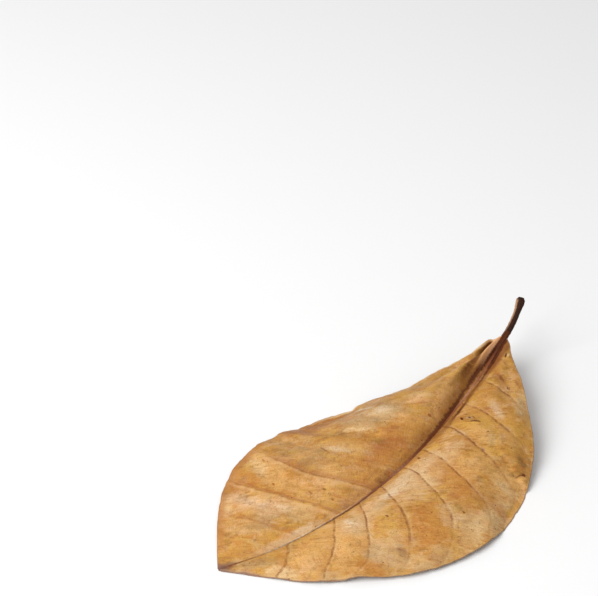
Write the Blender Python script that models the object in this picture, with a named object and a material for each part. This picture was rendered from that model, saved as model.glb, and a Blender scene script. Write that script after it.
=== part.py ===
"""Dried Indian almond leaf, one piece grown whole: blade, midrib, side veins and leaf stalk.

Metres, +Z up. The tip points to -X and the cut stalk to +X. The blade lies on a flat surface on
its tip and on one low place of each margin, and its stalk end stands clear of the surface.

A place on the blade is given by a station, 0 at the stalk and 1 at the tip, and by how far it is
from the midrib to the margin, 0 to 1. The left half is on +Y and the right half on -Y.
"""
import bpy
import numpy as np

NODE = "leaf"

# Driving sizes
BLADE_LENGTH = 0.180
BLADE_THICKNESS = 0.00065
STALK_RADIUS = 0.00165
STALK_END_RADIUS = 0.0022
STALK_REACH = (0.0130, 0.0036, 0.0118)
STALK_BLEND = 0.045
ORIGIN = (0.0077, -0.0144, 0.0)

# Midrib, as (station, value): its bow to the right and its height above the surface
RIB_BOW = [(0.0, 0.0), (0.15, -0.0069), (0.35, -0.0138), (0.55, -0.0169), (0.70, -0.0152),
           (0.85, -0.0101), (1.0, 0.0)]
RIB_HEIGHT = [(0.0, 0.0195), (0.10, 0.0156), (0.20, 0.0124), (0.35, 0.0086), (0.50, 0.0059),
              (0.70, 0.0036), (0.85, 0.0021), (0.95, 0.0008), (1.0, 0.0004)]
RIB_WIDTH = [(0.0, 0.0021), (0.3, 0.0016), (0.7, 0.0011), (1.0, 0.0008)]
KEEL_DEPTH = [(0.0, 0.0022), (0.3, 0.0015), (0.7, 0.0008), (1.0, 0.0003)]
CREST_HEIGHT = [(0.0, 0.0012), (0.3, 0.0009), (0.7, 0.0005), (1.0, 0.0002)]

# Each half: its outline and the height of its margin, then the arch between midrib and margin
HALVES = {
    1: {
        "width": [(0.0, 0.0020), (0.05, 0.0058), (0.10, 0.0088), (0.16, 0.0142), (0.22, 0.0200),
                  (0.30, 0.0285), (0.37, 0.0375), (0.45, 0.0460), (0.55, 0.0525), (0.66, 0.0550),
                  (0.75, 0.0517), (0.82, 0.0440), (0.90, 0.0280), (0.96, 0.0120), (1.0, 0.0006)],
        "margin": [(0.0, 0.0195), (0.08, 0.0182), (0.16, 0.0145), (0.25, 0.0100), (0.34, 0.0054),
                   (0.40, 0.0016), (0.44, -0.0016), (0.50, -0.0016), (0.58, 0.0010),
                   (0.70, 0.0027), (0.80, 0.0014), (0.90, 0.0021), (1.0, 0.0004)],
        "arch": [(0.0, 0.0), (0.10, 0.0042), (0.20, 0.0072), (0.35, 0.0088), (0.50, 0.0080),
                 (0.70, 0.0055), (0.85, 0.0030), (1.0, 0.0)],
        "first_vein": 0.120,
        "drift_from": 0.60,
        "pleat": 0.0042,
    },
    -1: {
        "width": [(0.0, 0.0020), (0.05, 0.0080), (0.10, 0.0195), (0.16, 0.0305), (0.22, 0.0400),
                  (0.30, 0.0468), (0.40, 0.0505), (0.50, 0.0512), (0.60, 0.0478), (0.70, 0.0415),
                  (0.80, 0.0305), (0.88, 0.0217), (0.95, 0.0095), (1.0, 0.0006)],
        "margin": [(0.0, 0.0195), (0.05, 0.0185), (0.10, 0.0160), (0.20, 0.0093), (0.29, 0.0028),
                   (0.335, -0.0016), (0.39, -0.0016), (0.47, 0.0010), (0.56, 0.0024),
                   (0.66, 0.0012), (0.76, 0.0024), (0.88, 0.0008), (1.0, 0.0004)],
        "arch": [(0.0, 0.0), (0.10, 0.0024), (0.20, 0.0052), (0.35, 0.0076), (0.50, 0.0072),
                 (0.70, 0.0050), (0.85, 0.0026), (1.0, 0.0)],
        "first_vein": 0.090,
        "drift_from": 0.25,
        "pleat": 0.0,
    },
}

# Side veins and the small swells between them
VEIN_SPACING = 0.078
VEIN_DRIFT = 0.12
DRIFT_LENGTH = 0.72
LAST_VEIN = 0.93
VEIN_FLANK = 0.0007
VEIN_RELIEF_BELOW = 0.00045
VEIN_RELIEF_ABOVE = 0.00015
SWELL = 0.0008
BUCKLE = 0.0006
MARGIN_WAVE = 0.0011

# Mesh: most distance between rows, places from midrib to margin, rings along the stalk
ROW_STEP = 0.0036
FIRST_ROW = 0.006
LAST_ROW = 0.985
TIP_RADIUS = 0.0005
PLACES = 7
RIM = 0.0014
STALK_RINGS = 9
DIFFERENCE = 0.0004


def remove_all_objects():
    for item in list(bpy.data.objects):
        bpy.data.objects.remove(item, do_unlink=True)


def curve(points, station):
    """Smooth curve through (station, value) points, level with the chord of its neighbours."""
    stations, values = np.array(points).T
    slopes = np.gradient(values, stations)
    station = np.clip(station, stations[0], stations[-1])
    index = np.clip(np.searchsorted(stations, station, side="right") - 1, 0, len(stations) - 2)
    gap = stations[index + 1] - stations[index]
    part = (station - stations[index]) / gap
    start = (1 + 2 * part) * (1 - part) ** 2 * values[index]
    leave = part * (1 - part) ** 2 * gap * slopes[index]
    end = part ** 2 * (3 - 2 * part) * values[index + 1]
    arrive = part ** 2 * (part - 1) * gap * slopes[index + 1]
    return start + leave + end + arrive


def smooth(value):
    value = np.clip(value, 0.0, 1.0)
    return value * value * (3 - 2 * value)


def half_width(station, side):
    return np.maximum(curve(HALVES[side]["width"], station), 0.0)


def swept(station, out):
    """Rows follow the side veins, which run forward to the tip on their way to the margin."""
    reach = 0.03 + 0.12 * smooth((station - 0.15) / 0.45)
    reach = reach * np.clip((0.97 - station) / 0.25, 0.0, 1.0)
    return np.clip(station + reach * (0.4 * out + 0.6 * out ** 2.5), 0.0, 1.0)


def vein_count(station, side):
    """Grows by 1 from one side vein to the next; their spacing drifts a little along the leaf."""
    half = HALVES[side]
    drift = VEIN_DRIFT * np.sin(2 * np.pi * (station - half["drift_from"]) / DRIFT_LENGTH)
    return (station - half["first_vein"]) / VEIN_SPACING - drift


def vein_stations(side):
    """Stations where the side veins of one half leave the midrib."""
    stations = np.linspace(0.0, LAST_VEIN, 400)
    counts = vein_count(stations, side)
    whole = np.arange(0, int(counts[-1]) + 1)
    return np.interp(whole, counts, stations)


def swell(station, out, side):
    """The blade swells between two side veins, more in some places than in others."""
    between = 0.5 - 0.5 * np.cos(2 * np.pi * vein_count(station, side))
    uneven = 0.75 + 0.4 * np.sin(2 * np.pi * 2.1 * station + 1.7 * side)
    return SWELL * uneven * between * np.sin(np.pi * out) * smooth((0.97 - station) / 0.2)


def buckle(along, out, side):
    """Slow uneven bends of a blade that has dried."""
    first = np.sin(2 * np.pi * (3.1 * along + 0.9 * out) + side)
    second = np.sin(2 * np.pi * (1.4 * out - 1.9 * along) + 2.0 * side)
    ends = smooth(along / 0.2) * smooth((0.98 - along) / 0.15)
    return BUCKLE * (first + first * second) * np.sin(np.pi * out) * ends


def margin_wave(station, along, out, side):
    """Waves of the margin, where it doesn't touch the surface."""
    ripple = 0.5 - 0.5 * np.cos(2 * np.pi * (station * 9.3 + 0.3 * side))
    rim = smooth((out - 0.5) / 0.5) * smooth(along / 0.15) * smooth((1 - along) / 0.12)
    return MARGIN_WAVE * ripple * rim * smooth(curve(HALVES[side]["margin"], along) / 0.001)


def pleat(along, out, side):
    """Fold that the left half has beside the midrib near the stalk."""
    length = smooth(along / 0.08) * smooth((0.40 - along) / 0.25)
    return HALVES[side]["pleat"] * length * np.exp(-((out - 0.66) / 0.17) ** 2)


def blade_height(station, along, out, side):
    half = HALVES[side]
    rib = curve(RIB_HEIGHT, along)
    drop = curve(half["margin"], along) - rib
    height = rib + drop * (0.3 * out ** 2 + 0.7 * out ** 3)
    height = height + curve(half["arch"], along) * np.sin(np.pi * out ** 0.82)
    height = height + swell(station, out, side) + buckle(along, out, side)
    return height + margin_wave(station, along, out, side) - pleat(along, out, side)


def blade_point(station, across):
    """Middle of the blade's thickness; across is -1 at the right margin and 1 at the left."""
    side = 1 if across >= 0 else -1
    out = abs(across)
    along = swept(station, out)
    x = BLADE_LENGTH * (0.5 - along)
    y = curve(RIB_BOW, along) + side * out * half_width(along, side)
    z = blade_height(station, along, out, side)
    return np.array([float(x), float(y), max(float(z), BLADE_THICKNESS / 2)])


def blade_normal(station, across):
    """Across the midrib's own crease the normals of both halves are averaged."""
    steps = (-DIFFERENCE, DIFFERENCE) if abs(across) < 1e-9 else (0.0,)
    total = np.zeros(3)
    for step in steps:
        place = np.clip(across + step, -1.0, 1.0)
        low, high = max(place - DIFFERENCE, -1.0), min(place + DIFFERENCE, 1.0)
        if low < 0.0 < high:
            low, high = (0.0, high) if place > 0 else (low, 0.0)
        sideways = blade_point(station, high) - blade_point(station, low)
        forward = blade_point(station - DIFFERENCE, place) - blade_point(station + DIFFERENCE, place)
        normal = np.cross(forward, sideways)
        total += normal / np.linalg.norm(normal)
    return total / np.linalg.norm(total)


def vein_relief(station, across):
    """Height of the nearest side vein's ridge, full at the midrib and fading to the margin."""
    side = 1 if across >= 0 else -1
    count = float(vein_count(station, side))
    distance = (count - round(count)) * VEIN_SPACING * BLADE_LENGTH
    if round(count) < 0 or station > LAST_VEIN:
        return 0.0
    return max(0.0, 1 - abs(distance) / VEIN_FLANK) * (1 - 0.75 * abs(across))


def rib_profile(offset, width):
    """Round back of the midrib, 1 on its middle and 0 at its foot."""
    return float(np.sqrt(max(0.0, 1 - (offset / width) ** 2)))


def row_places(station):
    """Places across one row, from the left margin to the right: more of them at the midrib."""
    places = []
    for side in (1, -1):
        width = float(half_width(station, side)) + 0.002
        foot = min(float(curve(RIB_WIDTH, station)) / width, 0.4)
        rim = min(RIM / width, 0.1)
        steps = np.linspace(foot, 1.0 - rim, PLACES + 1)
        places.append([0.0, 0.62 * foot] + list(steps) + [1.0])
    left = [place for place in reversed(places[0])]
    right = [-place for place in places[1][1:]]
    return left + right


def blade_row(station):
    """Upper and lower points of one row."""
    upper, lower = [], []
    width = float(curve(RIB_WIDTH, station))
    for across in row_places(station):
        side = 1 if across >= 0 else -1
        middle = blade_point(station, across)
        normal = blade_normal(station, across)
        offset = abs(across) * (float(half_width(station, side)) + 0.002)
        rib = rib_profile(offset, width)
        vein = vein_relief(station, across)
        above = float(curve(CREST_HEIGHT, station)) * rib + VEIN_RELIEF_ABOVE * vein
        below = float(curve(KEEL_DEPTH, station)) * rib + VEIN_RELIEF_BELOW * vein * (1 - rib)
        upper.append(middle + normal * (BLADE_THICKNESS / 2 + above))
        lower.append(middle - normal * (BLADE_THICKNESS / 2 + below))
    return upper, lower


def stalk_path(part):
    """Middle of the stalk, from its free end at -1 to the blade at 0 and on along the midrib."""
    if part >= 0:
        return blade_point(part, 0.0)
    back = -part
    bend = np.array([back * (1.3 - 0.3 * back), back, 0.55 * back + 0.45 * back ** 2])
    return np.array([BLADE_LENGTH / 2, 0.0, RIB_HEIGHT[0][1]]) + np.array(STALK_REACH) * bend


def stalk_ring(part, count, radius):
    """Round section in two halves, like a blade's row: an upper and a lower one."""
    step = 0.01
    forward = stalk_path(part + step) - stalk_path(part - step)
    forward /= np.linalg.norm(forward)
    left = np.cross(forward, np.array([0.0, 0.0, 1.0]))
    left /= np.linalg.norm(left)
    up = np.cross(left, forward)
    centre = stalk_path(part)
    upper, lower = [], []
    for angle in np.linspace(0.06 * np.pi, 0.94 * np.pi, count):
        sideways = left * np.cos(angle) * radius
        upper.append(centre + sideways + up * np.sin(angle) * radius * 0.85)
        lower.append(centre + sideways - up * np.sin(angle) * radius)
    return upper, lower


def tip_ring(count):
    """Small round section at the very tip, facing -X."""
    centre = blade_point(1.0, 0.0)
    upper, lower = [], []
    for angle in np.linspace(0.06 * np.pi, 0.94 * np.pi, count):
        sideways, up = TIP_RADIUS * np.cos(angle), 0.7 * TIP_RADIUS * np.sin(angle)
        upper.append(centre + np.array([0.0, sideways, up]))
        lower.append(centre + np.array([0.0, sideways, -up]))
    return upper, lower


def stalk_radius(back):
    """Even along the stalk, swollen where it left the twig and rounded at the very end."""
    swollen = STALK_RADIUS + (STALK_END_RADIUS - STALK_RADIUS) * smooth((back - 0.6) / 0.3)
    return float(swollen * (1 - 0.35 * smooth((back - 0.93) / 0.07)))


def station_list():
    """Rows on and beside every side vein, and between them no further apart than the row step."""
    marks = {FIRST_ROW, LAST_ROW}
    flank = VEIN_FLANK / BLADE_LENGTH
    for side in HALVES:
        for vein in vein_stations(side):
            marks.update((vein - flank, vein, vein + flank))
    stations = sorted(marks)
    rows = [stations[0]]
    for start, end in zip(stations, stations[1:]):
        pieces = max(1, round((end - start) * BLADE_LENGTH / ROW_STEP))
        rows.extend(start + (end - start) * (step + 1) / pieces for step in range(pieces))
    return rows


def all_rings():
    """Rings from the stalk's free end to the tip, each an upper and a lower row."""
    stations = station_list()
    count = len(row_places(0.5))
    rings = []
    for back in np.concatenate([[1.0, 0.975], np.linspace(0.93, 0.0, STALK_RINGS)]):
        rings.append(stalk_ring(-back, count, stalk_radius(back)))
    for station in stations:
        upper, lower = blade_row(station)
        mix = float(smooth(station / STALK_BLEND))
        if mix < 1.0:
            radius = STALK_RADIUS
            round_upper, round_lower = stalk_ring(station, count, radius)
            upper = [a * (1 - mix) + b * mix for a, b in zip(round_upper, upper)]
            lower = [a * (1 - mix) + b * mix for a, b in zip(round_lower, lower)]
        rings.append((upper, lower))
    rings.append(tip_ring(count))
    return rings


def skin(rings):
    """Points and triangles of the closed skin, split alike on both faces."""
    count = len(rings[0][0])
    points = []
    for upper, lower in rings:
        points.extend(upper)
        points.extend(lower)
    triangles = []
    for row in range(len(rings) - 1):
        here, ahead = row * 2 * count, (row + 1) * 2 * count
        for place in range(count - 1):
            for shift, turned in ((0, False), (count, True)):
                a, b = here + shift + place, here + shift + place + 1
                c, d = ahead + shift + place + 1, ahead + shift + place
                halves = ((a, d, b), (d, c, b)) if place < count // 2 else ((a, c, b), (a, d, c))
                for corner in halves:
                    triangles.append(corner[::-1] if turned else corner)
        for place, turned in ((0, True), (count - 1, False)):
            a, b = here + place, here + count + place
            c, d = ahead + count + place, ahead + place
            for corner in ((a, d, b), (d, c, b)):
                triangles.append(corner[::-1] if turned else corner)
    triangles.extend(end_cap(points, 0, count, False))
    triangles.extend(end_cap(points, (len(rings) - 1) * 2 * count, count, True))
    return points, triangles


def end_cap(points, first, count, turned):
    """Fan of triangles round a middle point, over the first or last ring."""
    loop = list(range(first, first + count)) + list(range(first + 2 * count - 1, first + count - 1, -1))
    points.append(sum(points[index] for index in loop) / len(loop))
    middle = len(points) - 1
    fan = [(loop[index], loop[(index + 1) % len(loop)], middle) for index in range(len(loop))]
    return [corner[::-1] for corner in fan] if turned else fan


def settle(points):
    """Moves the leaf to its origin and makes its three resting places truly flat."""
    placed = np.array(points) - np.array(ORIGIN)
    placed[placed[:, 2] < 0.00008, 2] = 0.0
    return placed


def leaf_material():
    material = bpy.data.materials.new("dry_leaf")
    material.use_nodes = True
    shader = material.node_tree.nodes["Principled BSDF"]
    shader.inputs["Base Color"].default_value = (0.56, 0.33, 0.11, 1.0)
    shader.inputs["Roughness"].default_value = 0.62
    shader.inputs["Metallic"].default_value = 0.0
    return material


def make_leaf():
    points, triangles = skin(all_rings())
    mesh = bpy.data.meshes.new(NODE)
    mesh.from_pydata([tuple(point) for point in settle(points)], [], triangles)
    mesh.shade_smooth()
    mesh.materials.append(leaf_material())
    leaf = bpy.data.objects.new(NODE, mesh)
    bpy.context.scene.collection.objects.link(leaf)
    return leaf


remove_all_objects()
make_leaf()
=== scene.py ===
import math
import random

import bpy
import numpy as np
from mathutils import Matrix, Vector, noise


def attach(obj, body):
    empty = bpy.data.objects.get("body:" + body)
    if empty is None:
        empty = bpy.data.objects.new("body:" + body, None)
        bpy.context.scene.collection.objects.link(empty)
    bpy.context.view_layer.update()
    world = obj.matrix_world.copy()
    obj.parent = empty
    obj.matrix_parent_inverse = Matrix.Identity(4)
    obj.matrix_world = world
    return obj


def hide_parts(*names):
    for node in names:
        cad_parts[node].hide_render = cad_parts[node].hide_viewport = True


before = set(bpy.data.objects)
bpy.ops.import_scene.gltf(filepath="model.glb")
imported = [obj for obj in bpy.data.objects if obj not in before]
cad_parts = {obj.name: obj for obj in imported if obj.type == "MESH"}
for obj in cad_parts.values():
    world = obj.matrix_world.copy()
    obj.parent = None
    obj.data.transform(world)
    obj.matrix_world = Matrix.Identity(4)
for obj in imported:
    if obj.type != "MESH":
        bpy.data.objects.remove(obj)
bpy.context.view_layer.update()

mm = 0.001
print("frame loaded")

# The form that every piece follows. It is the solid's own: metres, tip on -X, left half on +Y.
# A place is a station, 0 at the stalk and 1 at the tip, and out, 0 at the midrib and 1 at the margin.
leafForm = {
    "bladeLength": 0.180,
    "skin": 0.00065,  # thickness of the solid that the blade stands for
    "originX": 0.0077,
    "originY": -0.0144,
    "ribBow": [(0.0, 0.0), (0.15, -0.0069), (0.35, -0.0138), (0.55, -0.0169), (0.70, -0.0152),
               (0.85, -0.0101), (1.0, 0.0)],
    "ribHeight": [(0.0, 0.0195), (0.10, 0.0156), (0.20, 0.0124), (0.35, 0.0086), (0.50, 0.0059),
                  (0.70, 0.0036), (0.85, 0.0021), (0.95, 0.0008), (1.0, 0.0004)],
    "lastVein": 0.93,
    "crownEnd": 0.82,  # side veins bow forward this far out, where a half has a crown
    "swell": 0.0008,  # panels bulge between side veins
    "buckle": 0.0006,  # slow waves of the whole blade
    "marginWave": 0.0011,
    "pleatOut": 0.66,
    "pleatWidth": 0.17,
}

# The left half is 1 and the right half is -1
leafHalves = {
    1: {
        "width": [(0.0, 0.0020), (0.05, 0.0058), (0.10, 0.0088), (0.16, 0.0142), (0.22, 0.0200),
                  (0.30, 0.0285), (0.37, 0.0375), (0.45, 0.0460), (0.55, 0.0525), (0.66, 0.0550),
                  (0.75, 0.0517), (0.82, 0.0440), (0.90, 0.0280), (0.96, 0.0120), (1.0, 0.0006)],
        "margin": [(0.0, 0.0195), (0.08, 0.0182), (0.16, 0.0145), (0.25, 0.0100), (0.34, 0.0054),
                   (0.40, 0.0016), (0.44, -0.0016), (0.50, -0.0016), (0.58, 0.0010),
                   (0.70, 0.0027), (0.80, 0.0014), (0.90, 0.0021), (1.0, 0.0004)],
        "arch": [(0.0, 0.0), (0.10, 0.0042), (0.20, 0.0072), (0.35, 0.0088), (0.50, 0.0080),
                 (0.70, 0.0055), (0.85, 0.0030), (1.0, 0.0)],
        "veins": (0.110, 0.185, 0.260, 0.325, 0.405, 0.495, 0.585, 0.645, 0.700, 0.755, 0.810, 0.865, 0.915),
        "sweep": [(0.0, 0.0), (0.15, 0.10), (0.26, 0.165), (0.35, 0.17), (0.45, 0.15), (0.585, 0.115),
                  (0.70, 0.105), (0.81, 0.076), (0.865, 0.066), (0.97, 0.012), (1.0, 0.0)],
        "straight": [(0.0, 0.0), (1.0, 0.0)],
        "bend": [(0.0, 2.0), (0.45, 2.0), (0.585, 3.2), (0.70, 2.0), (1.0, 2.0)],
        "early": 1.0,
        "crown": 0.0,
        "creases": (0.0, 0.0, 0.05, 0.12, 0.12, 0.15, 0.50, 0.05, 0.70, 0.10, 0.30, 0.20, 0.10),  # folds, mm
        "creaseWidth": 0.0036,
        "pleat": 0.0042,
    },
    -1: {
        "width": [(0.0, 0.0020), (0.05, 0.0080), (0.10, 0.0195), (0.16, 0.0305), (0.22, 0.0400),
                  (0.30, 0.0468), (0.40, 0.0505), (0.50, 0.0512), (0.60, 0.0478), (0.70, 0.0415),
                  (0.80, 0.0305), (0.88, 0.0217), (0.95, 0.0095), (1.0, 0.0006)],
        "margin": [(0.0, 0.0195), (0.05, 0.0185), (0.10, 0.0160), (0.20, 0.0093), (0.29, 0.0028),
                   (0.335, -0.0016), (0.39, -0.0016), (0.47, 0.0010), (0.56, 0.0024),
                   (0.66, 0.0012), (0.76, 0.0024), (0.88, 0.0008), (1.0, 0.0004)],
        "arch": [(0.0, 0.0), (0.10, 0.0024), (0.20, 0.0052), (0.35, 0.0076), (0.50, 0.0072),
                 (0.70, 0.0050), (0.85, 0.0026), (1.0, 0.0)],
        "veins": (0.085, 0.165, 0.245, 0.330, 0.420, 0.490, 0.570, 0.640, 0.715, 0.840),
        "sweep": [(0.0, 0.0), (0.25, 0.012), (0.33, 0.030), (0.42, 0.092), (0.49, 0.150), (0.57, 0.172),
                  (0.64, 0.168), (0.715, 0.145), (0.84, 0.084), (0.97, 0.010), (1.0, 0.0)],
        "straight": [(0.0, 0.3), (0.33, 0.25), (0.42, 0.14), (0.49, 0.28), (0.57, 0.55), (0.64, 0.85),
                     (0.715, 1.05), (0.84, 1.15), (1.0, 1.15)],
        "bend": [(0.0, 9.0), (0.38, 9.0), (0.43, 8.5), (0.49, 5.0), (1.0, 5.0)],
        "early": 0.0,
        "crown": 0.014,
        "creases": (-0.05, -0.08, -0.10, -0.12, -0.12, -0.12, -0.10, -0.10, -0.10, -0.10),  # grooves, mm
        "creaseWidth": 0.0009,
        "pleat": 0.0,
    },
}


def smoothCurve(points, station):
    stations, values = np.array(points).T
    slopes = np.gradient(values, stations)
    station = np.clip(station, stations[0], stations[-1])
    index = np.clip(np.searchsorted(stations, station, side="right") - 1, 0, len(stations) - 2)
    gap = stations[index + 1] - stations[index]
    part = (station - stations[index]) / gap
    start = (1 + 2 * part) * (1 - part) ** 2 * values[index]
    leave = part * (1 - part) ** 2 * gap * slopes[index]
    end = part ** 2 * (3 - 2 * part) * values[index + 1]
    arrive = part ** 2 * (part - 1) * gap * slopes[index + 1]
    return start + leave + end + arrive


def fade(value):
    value = np.clip(value, 0.0, 1.0)
    return value * value * (3 - 2 * value)


def rising(value, start, over):
    return fade((value - start) / over)


def falling(value, end, over):
    return fade((end - value) / over)


def bell(gap, width):
    return np.exp(-(gap / width) ** 2)


def wave(turns):
    return np.sin(2 * np.pi * turns)


def halfWidth(along, side):
    first, second, third = fineForm["nickTurns"]
    nicks = (1 + wave(first * along + 0.3 * side)) * (1 + wave(second * along))
    nicks = nicks + 0.6 * (1 + wave(third * along + 0.2 * side))
    nicks = fineForm["marginNick"] * nicks * rising(along, 0.0, 0.1) * falling(along, 0.97, 0.1)
    return np.maximum(smoothCurve(leafHalves[side]["width"], along) - nicks, 0.0)


# What this script adds to the solid's form, in metres except where a note says millimetres
fineForm = {
    "wander": 0.0020,  # how far a side vein strays, in stations
    "panelTilt": {1: 0.00042, -1: 0.00016},  # panels between side veins lean like shingles
    "pucker": {"height": 0.00016, "size": 0.0075, "octaves": 3, "shift": 4.0},
    "grain": {"height": 0.00004, "size": 0.0016, "octaves": 2, "shift": 9.0},
    "crinkle": {"height": 0.00030, "size": 0.0062, "octaves": 2, "shift": 31.0},
    "octaveFall": 0.9,  # how much weaker each octave of these three is
    "octaveStep": 2.1,  # and how much finer
    "gutter": {1: 0.00095, -1: 0.00045},  # the blade dips beside the midrib
    "gutterWidth": 0.0009,
    "wall": {1: 0.0016, -1: 0.0004},  # and stands up steeply beyond that
    "wallFrom": 0.0022,
    "wallWidth": 0.0040,
    "foldRidge": 0.0015,  # a sharp ridge and a valley on the left half by the stalk
    "foldValley": 0.0017,
    # millimetres from the midrib at each station, and widths in millimetres
    "foldRidgeAt": [(0.0, 2.2), (0.05, 2.5), (0.08, 2.5), (0.11, 2.5), (1.0, 2.5)],
    "foldRidgeWidth": 1.0,
    "foldValleyAt": [(0.0, 4.4), (0.10, 4.9), (0.15, 4.6), (0.20, 4.8), (1.0, 6.0)],
    "foldValleyWidth": (1.0, 5.0),  # at the stalk, and what it gains by the tip
    "creaseShade": 0.0045,  # width of the colour along a crease: painted shade and light, and the vein line's strength
    "marginNick": 0.00008,
    "nickTurns": (17.3, 29.1, 61.0),  # waves of nicks along the leaf
}


# Waves whose lengths share no measure, so that no two veins stray alike
def wander(station, out, side):
    slow = wave(1.3 * out + 3.7 * station + 0.2 * side) * wave(0.9 * out + 2.1 * station)
    quick = wave(3.6 * out + 5.3 * station + 0.4 * side) + 0.5 * wave(8.3 * out - 4.1 * station)
    ends = rising(out, 0.0, 0.15) * falling(station, 0.97, 0.15) * rising(station, 0.0, 0.05)
    return fineForm["wander"] * (slow + 0.40 * quick) * ends


# A side vein leaves the midrib at its station and runs forward on its way to the margin
def alongLeaf(station, out, side):
    half = leafHalves[side]
    reach = smoothCurve(half["sweep"], station)
    straight = smoothCurve(half["straight"], station)
    bend = np.interp(station, *np.array(half["bend"]).T)
    late = straight * out + (1 - straight) * out ** bend
    early = 1 - (1 - out) ** bend
    swept = station + reach * (early * half["early"] + late * (1 - half["early"]))
    crown = np.sin(np.pi * np.clip(out / leafForm["crownEnd"], 0.0, 1.0))
    crown = crown * rising(station, 0.14, 0.18) * falling(station, 0.52, 0.12)
    swept = swept + half["crown"] * crown
    return np.clip(swept + wander(station, out, side), 0.0, 1.0)


def veinStations(side):
    return np.array(leafHalves[side]["veins"])


def countScale(side):
    veins = veinStations(side)
    marks = np.concatenate(([2 * veins[0] - veins[1]], veins, [2 * veins[-1] - veins[-2]]))
    return marks, np.arange(-1, len(veins) + 1)


def veinCount(station, side):
    marks, counts = countScale(side)
    return np.interp(station, marks, counts)


def stationOfCount(count, side):
    marks, counts = countScale(side)
    return np.interp(count, counts, marks)


# Folds and grooves along the side veins, in millimetres
def creaseAt(station, side, width):
    half = leafHalves[side]
    total = np.zeros_like(np.asarray(station, float))
    for vein, height in zip(half["veins"], half["creases"]):
        total = total + height * bell((station - vein) * leafForm["bladeLength"], width)
    return total


def bladeHeight(station, along, out, side):
    half = leafHalves[side]
    rib = smoothCurve(leafForm["ribHeight"], along)
    margin = smoothCurve(half["margin"], along)
    height = rib + (margin - rib) * (0.3 * out ** 2 + 0.7 * out ** 3)
    height = height + smoothCurve(half["arch"], along) * np.sin(np.pi * out ** 0.82)

    between = 0.5 - 0.5 * np.cos(2 * np.pi * veinCount(station, side))
    uneven = 0.75 + 0.4 * np.sin(2 * np.pi * 2.1 * station + 1.7 * side)
    swell = leafForm["swell"] * uneven * between * np.sin(np.pi * out)
    height = height + swell * falling(station, 0.97, 0.2)

    first = np.sin(2 * np.pi * (3.1 * along + 0.9 * out) + side)
    second = np.sin(2 * np.pi * (1.4 * out - 1.9 * along) + 2.0 * side)
    ends = rising(along, 0.0, 0.2) * falling(along, 0.98, 0.15)
    height = height + leafForm["buckle"] * (first + first * second) * np.sin(np.pi * out) * ends

    ripple = 0.5 - 0.5 * np.cos(2 * np.pi * (station * 9.3 + 0.3 * side))
    rim = rising(out, 0.5, 0.5) * rising(along, 0.0, 0.15) * falling(along, 1.0, 0.12)
    height = height + leafForm["marginWave"] * ripple * rim * rising(margin, 0.0, 0.001)

    length = rising(along, 0.0, 0.08) * falling(along, 0.40, 0.25)
    return height - half["pleat"] * length * bell(out - leafForm["pleatOut"], leafForm["pleatWidth"])


def middlePoints(station, out, side):
    station, out = np.broadcast_arrays(np.asarray(station, float), np.asarray(out, float))
    along = alongLeaf(station, out, side)
    x = leafForm["bladeLength"] * (0.5 - along) - leafForm["originX"]
    y = smoothCurve(leafForm["ribBow"], along) + side * out * halfWidth(along, side) - leafForm["originY"]
    z = np.maximum(bladeHeight(station, along, out, side), leafForm["skin"] / 2)
    return np.stack((x, y, z), axis=-1)


def unit(vectors):
    return vectors / np.maximum(np.linalg.norm(vectors, axis=-1, keepdims=True), 1e-12)


def sideNormals(station, out, side):
    step = 0.0004
    outward = middlePoints(station, np.minimum(out + step, 1.0), side)
    outward = outward - middlePoints(station, np.maximum(out - step, 0.0), side)
    forward = middlePoints(station - step, out, side) - middlePoints(station + step, out, side)
    return unit(np.cross(forward, side * outward))


def bladeNormals(station, out, side):
    normals = sideNormals(station, out, side)
    other = sideNormals(station, np.zeros_like(out), -side)
    atRib = np.clip(1 - np.asarray(out)[..., None] / 0.01, 0.0, 1.0)
    return unit(normals + other * atRib)


def noiseLayer(points, layer):
    flat = points.reshape(-1, 3) / layer["size"] + layer["shift"]
    fall, step = fineForm["octaveFall"], fineForm["octaveStep"]
    values = [noise.fractal(Vector(point), fall, step, layer["octaves"]) for point in flat]
    return layer["height"] * np.array(values).reshape(points.shape[:-1])


# Small marks that have a shape of their own, in millimetres on the leaf
blemishes = [
    {"at": (70.5, 4.3), "size": 1.5, "height": 0.55},  # a lifted flake by the stalk
    {"at": (55.3, -7.2), "size": 1.1, "height": 0.32},
    {"at": (50.9, -9.7), "size": 1.0, "height": 0.30},
    {"at": (28.2, -4.9), "size": 1.0, "height": 0.26},  # a scab beside the midrib
    {"at": (29.0, -8.6), "size": 1.5, "height": 0.30},
    {"at": (29.9, -11.6), "size": 1.2, "height": 0.22},
    {"at": (-22.4, 20.4), "size": 4.6, "height": 0.40},  # a blister on the left half
    {"at": (7.6, 25.0), "size": 5.5, "height": 0.45},
    {"at": (-46.2, -8.4), "size": 1.8, "height": 0.25},
]

# The split by the right margin, in millimetres too: one lip stands a step above the other
tear = {
    "from": (24.0, -38.9),
    "to": (29.4, -42.0),
    "step": 0.20,
    "lip": 0.22,
    "reach": 2.2,
    "fade": 3.0,
    "overrun": 4.0,
}


def blemishRelief(points):
    place = points[..., :2] / mm
    relief = np.zeros(points.shape[:-1])
    for mark in blemishes:
        gap = np.linalg.norm(place - np.array(mark["at"]), axis=-1)
        relief = relief + mark["height"] * mm * bell(gap, mark["size"])
    start, end = np.array(tear["from"]), np.array(tear["to"])
    length = np.linalg.norm(end - start)
    line = (end - start) / length
    ahead = (place - start) @ line
    beside = (place - start) @ np.array([-line[1], line[0]])
    window = rising(ahead, 0.0, tear["fade"]) * falling(ahead, length + tear["overrun"], tear["fade"])
    lip = np.tanh(beside / tear["lip"]) * np.exp(-np.abs(beside) / tear["reach"])
    return relief + tear["step"] * mm * lip * window


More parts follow.
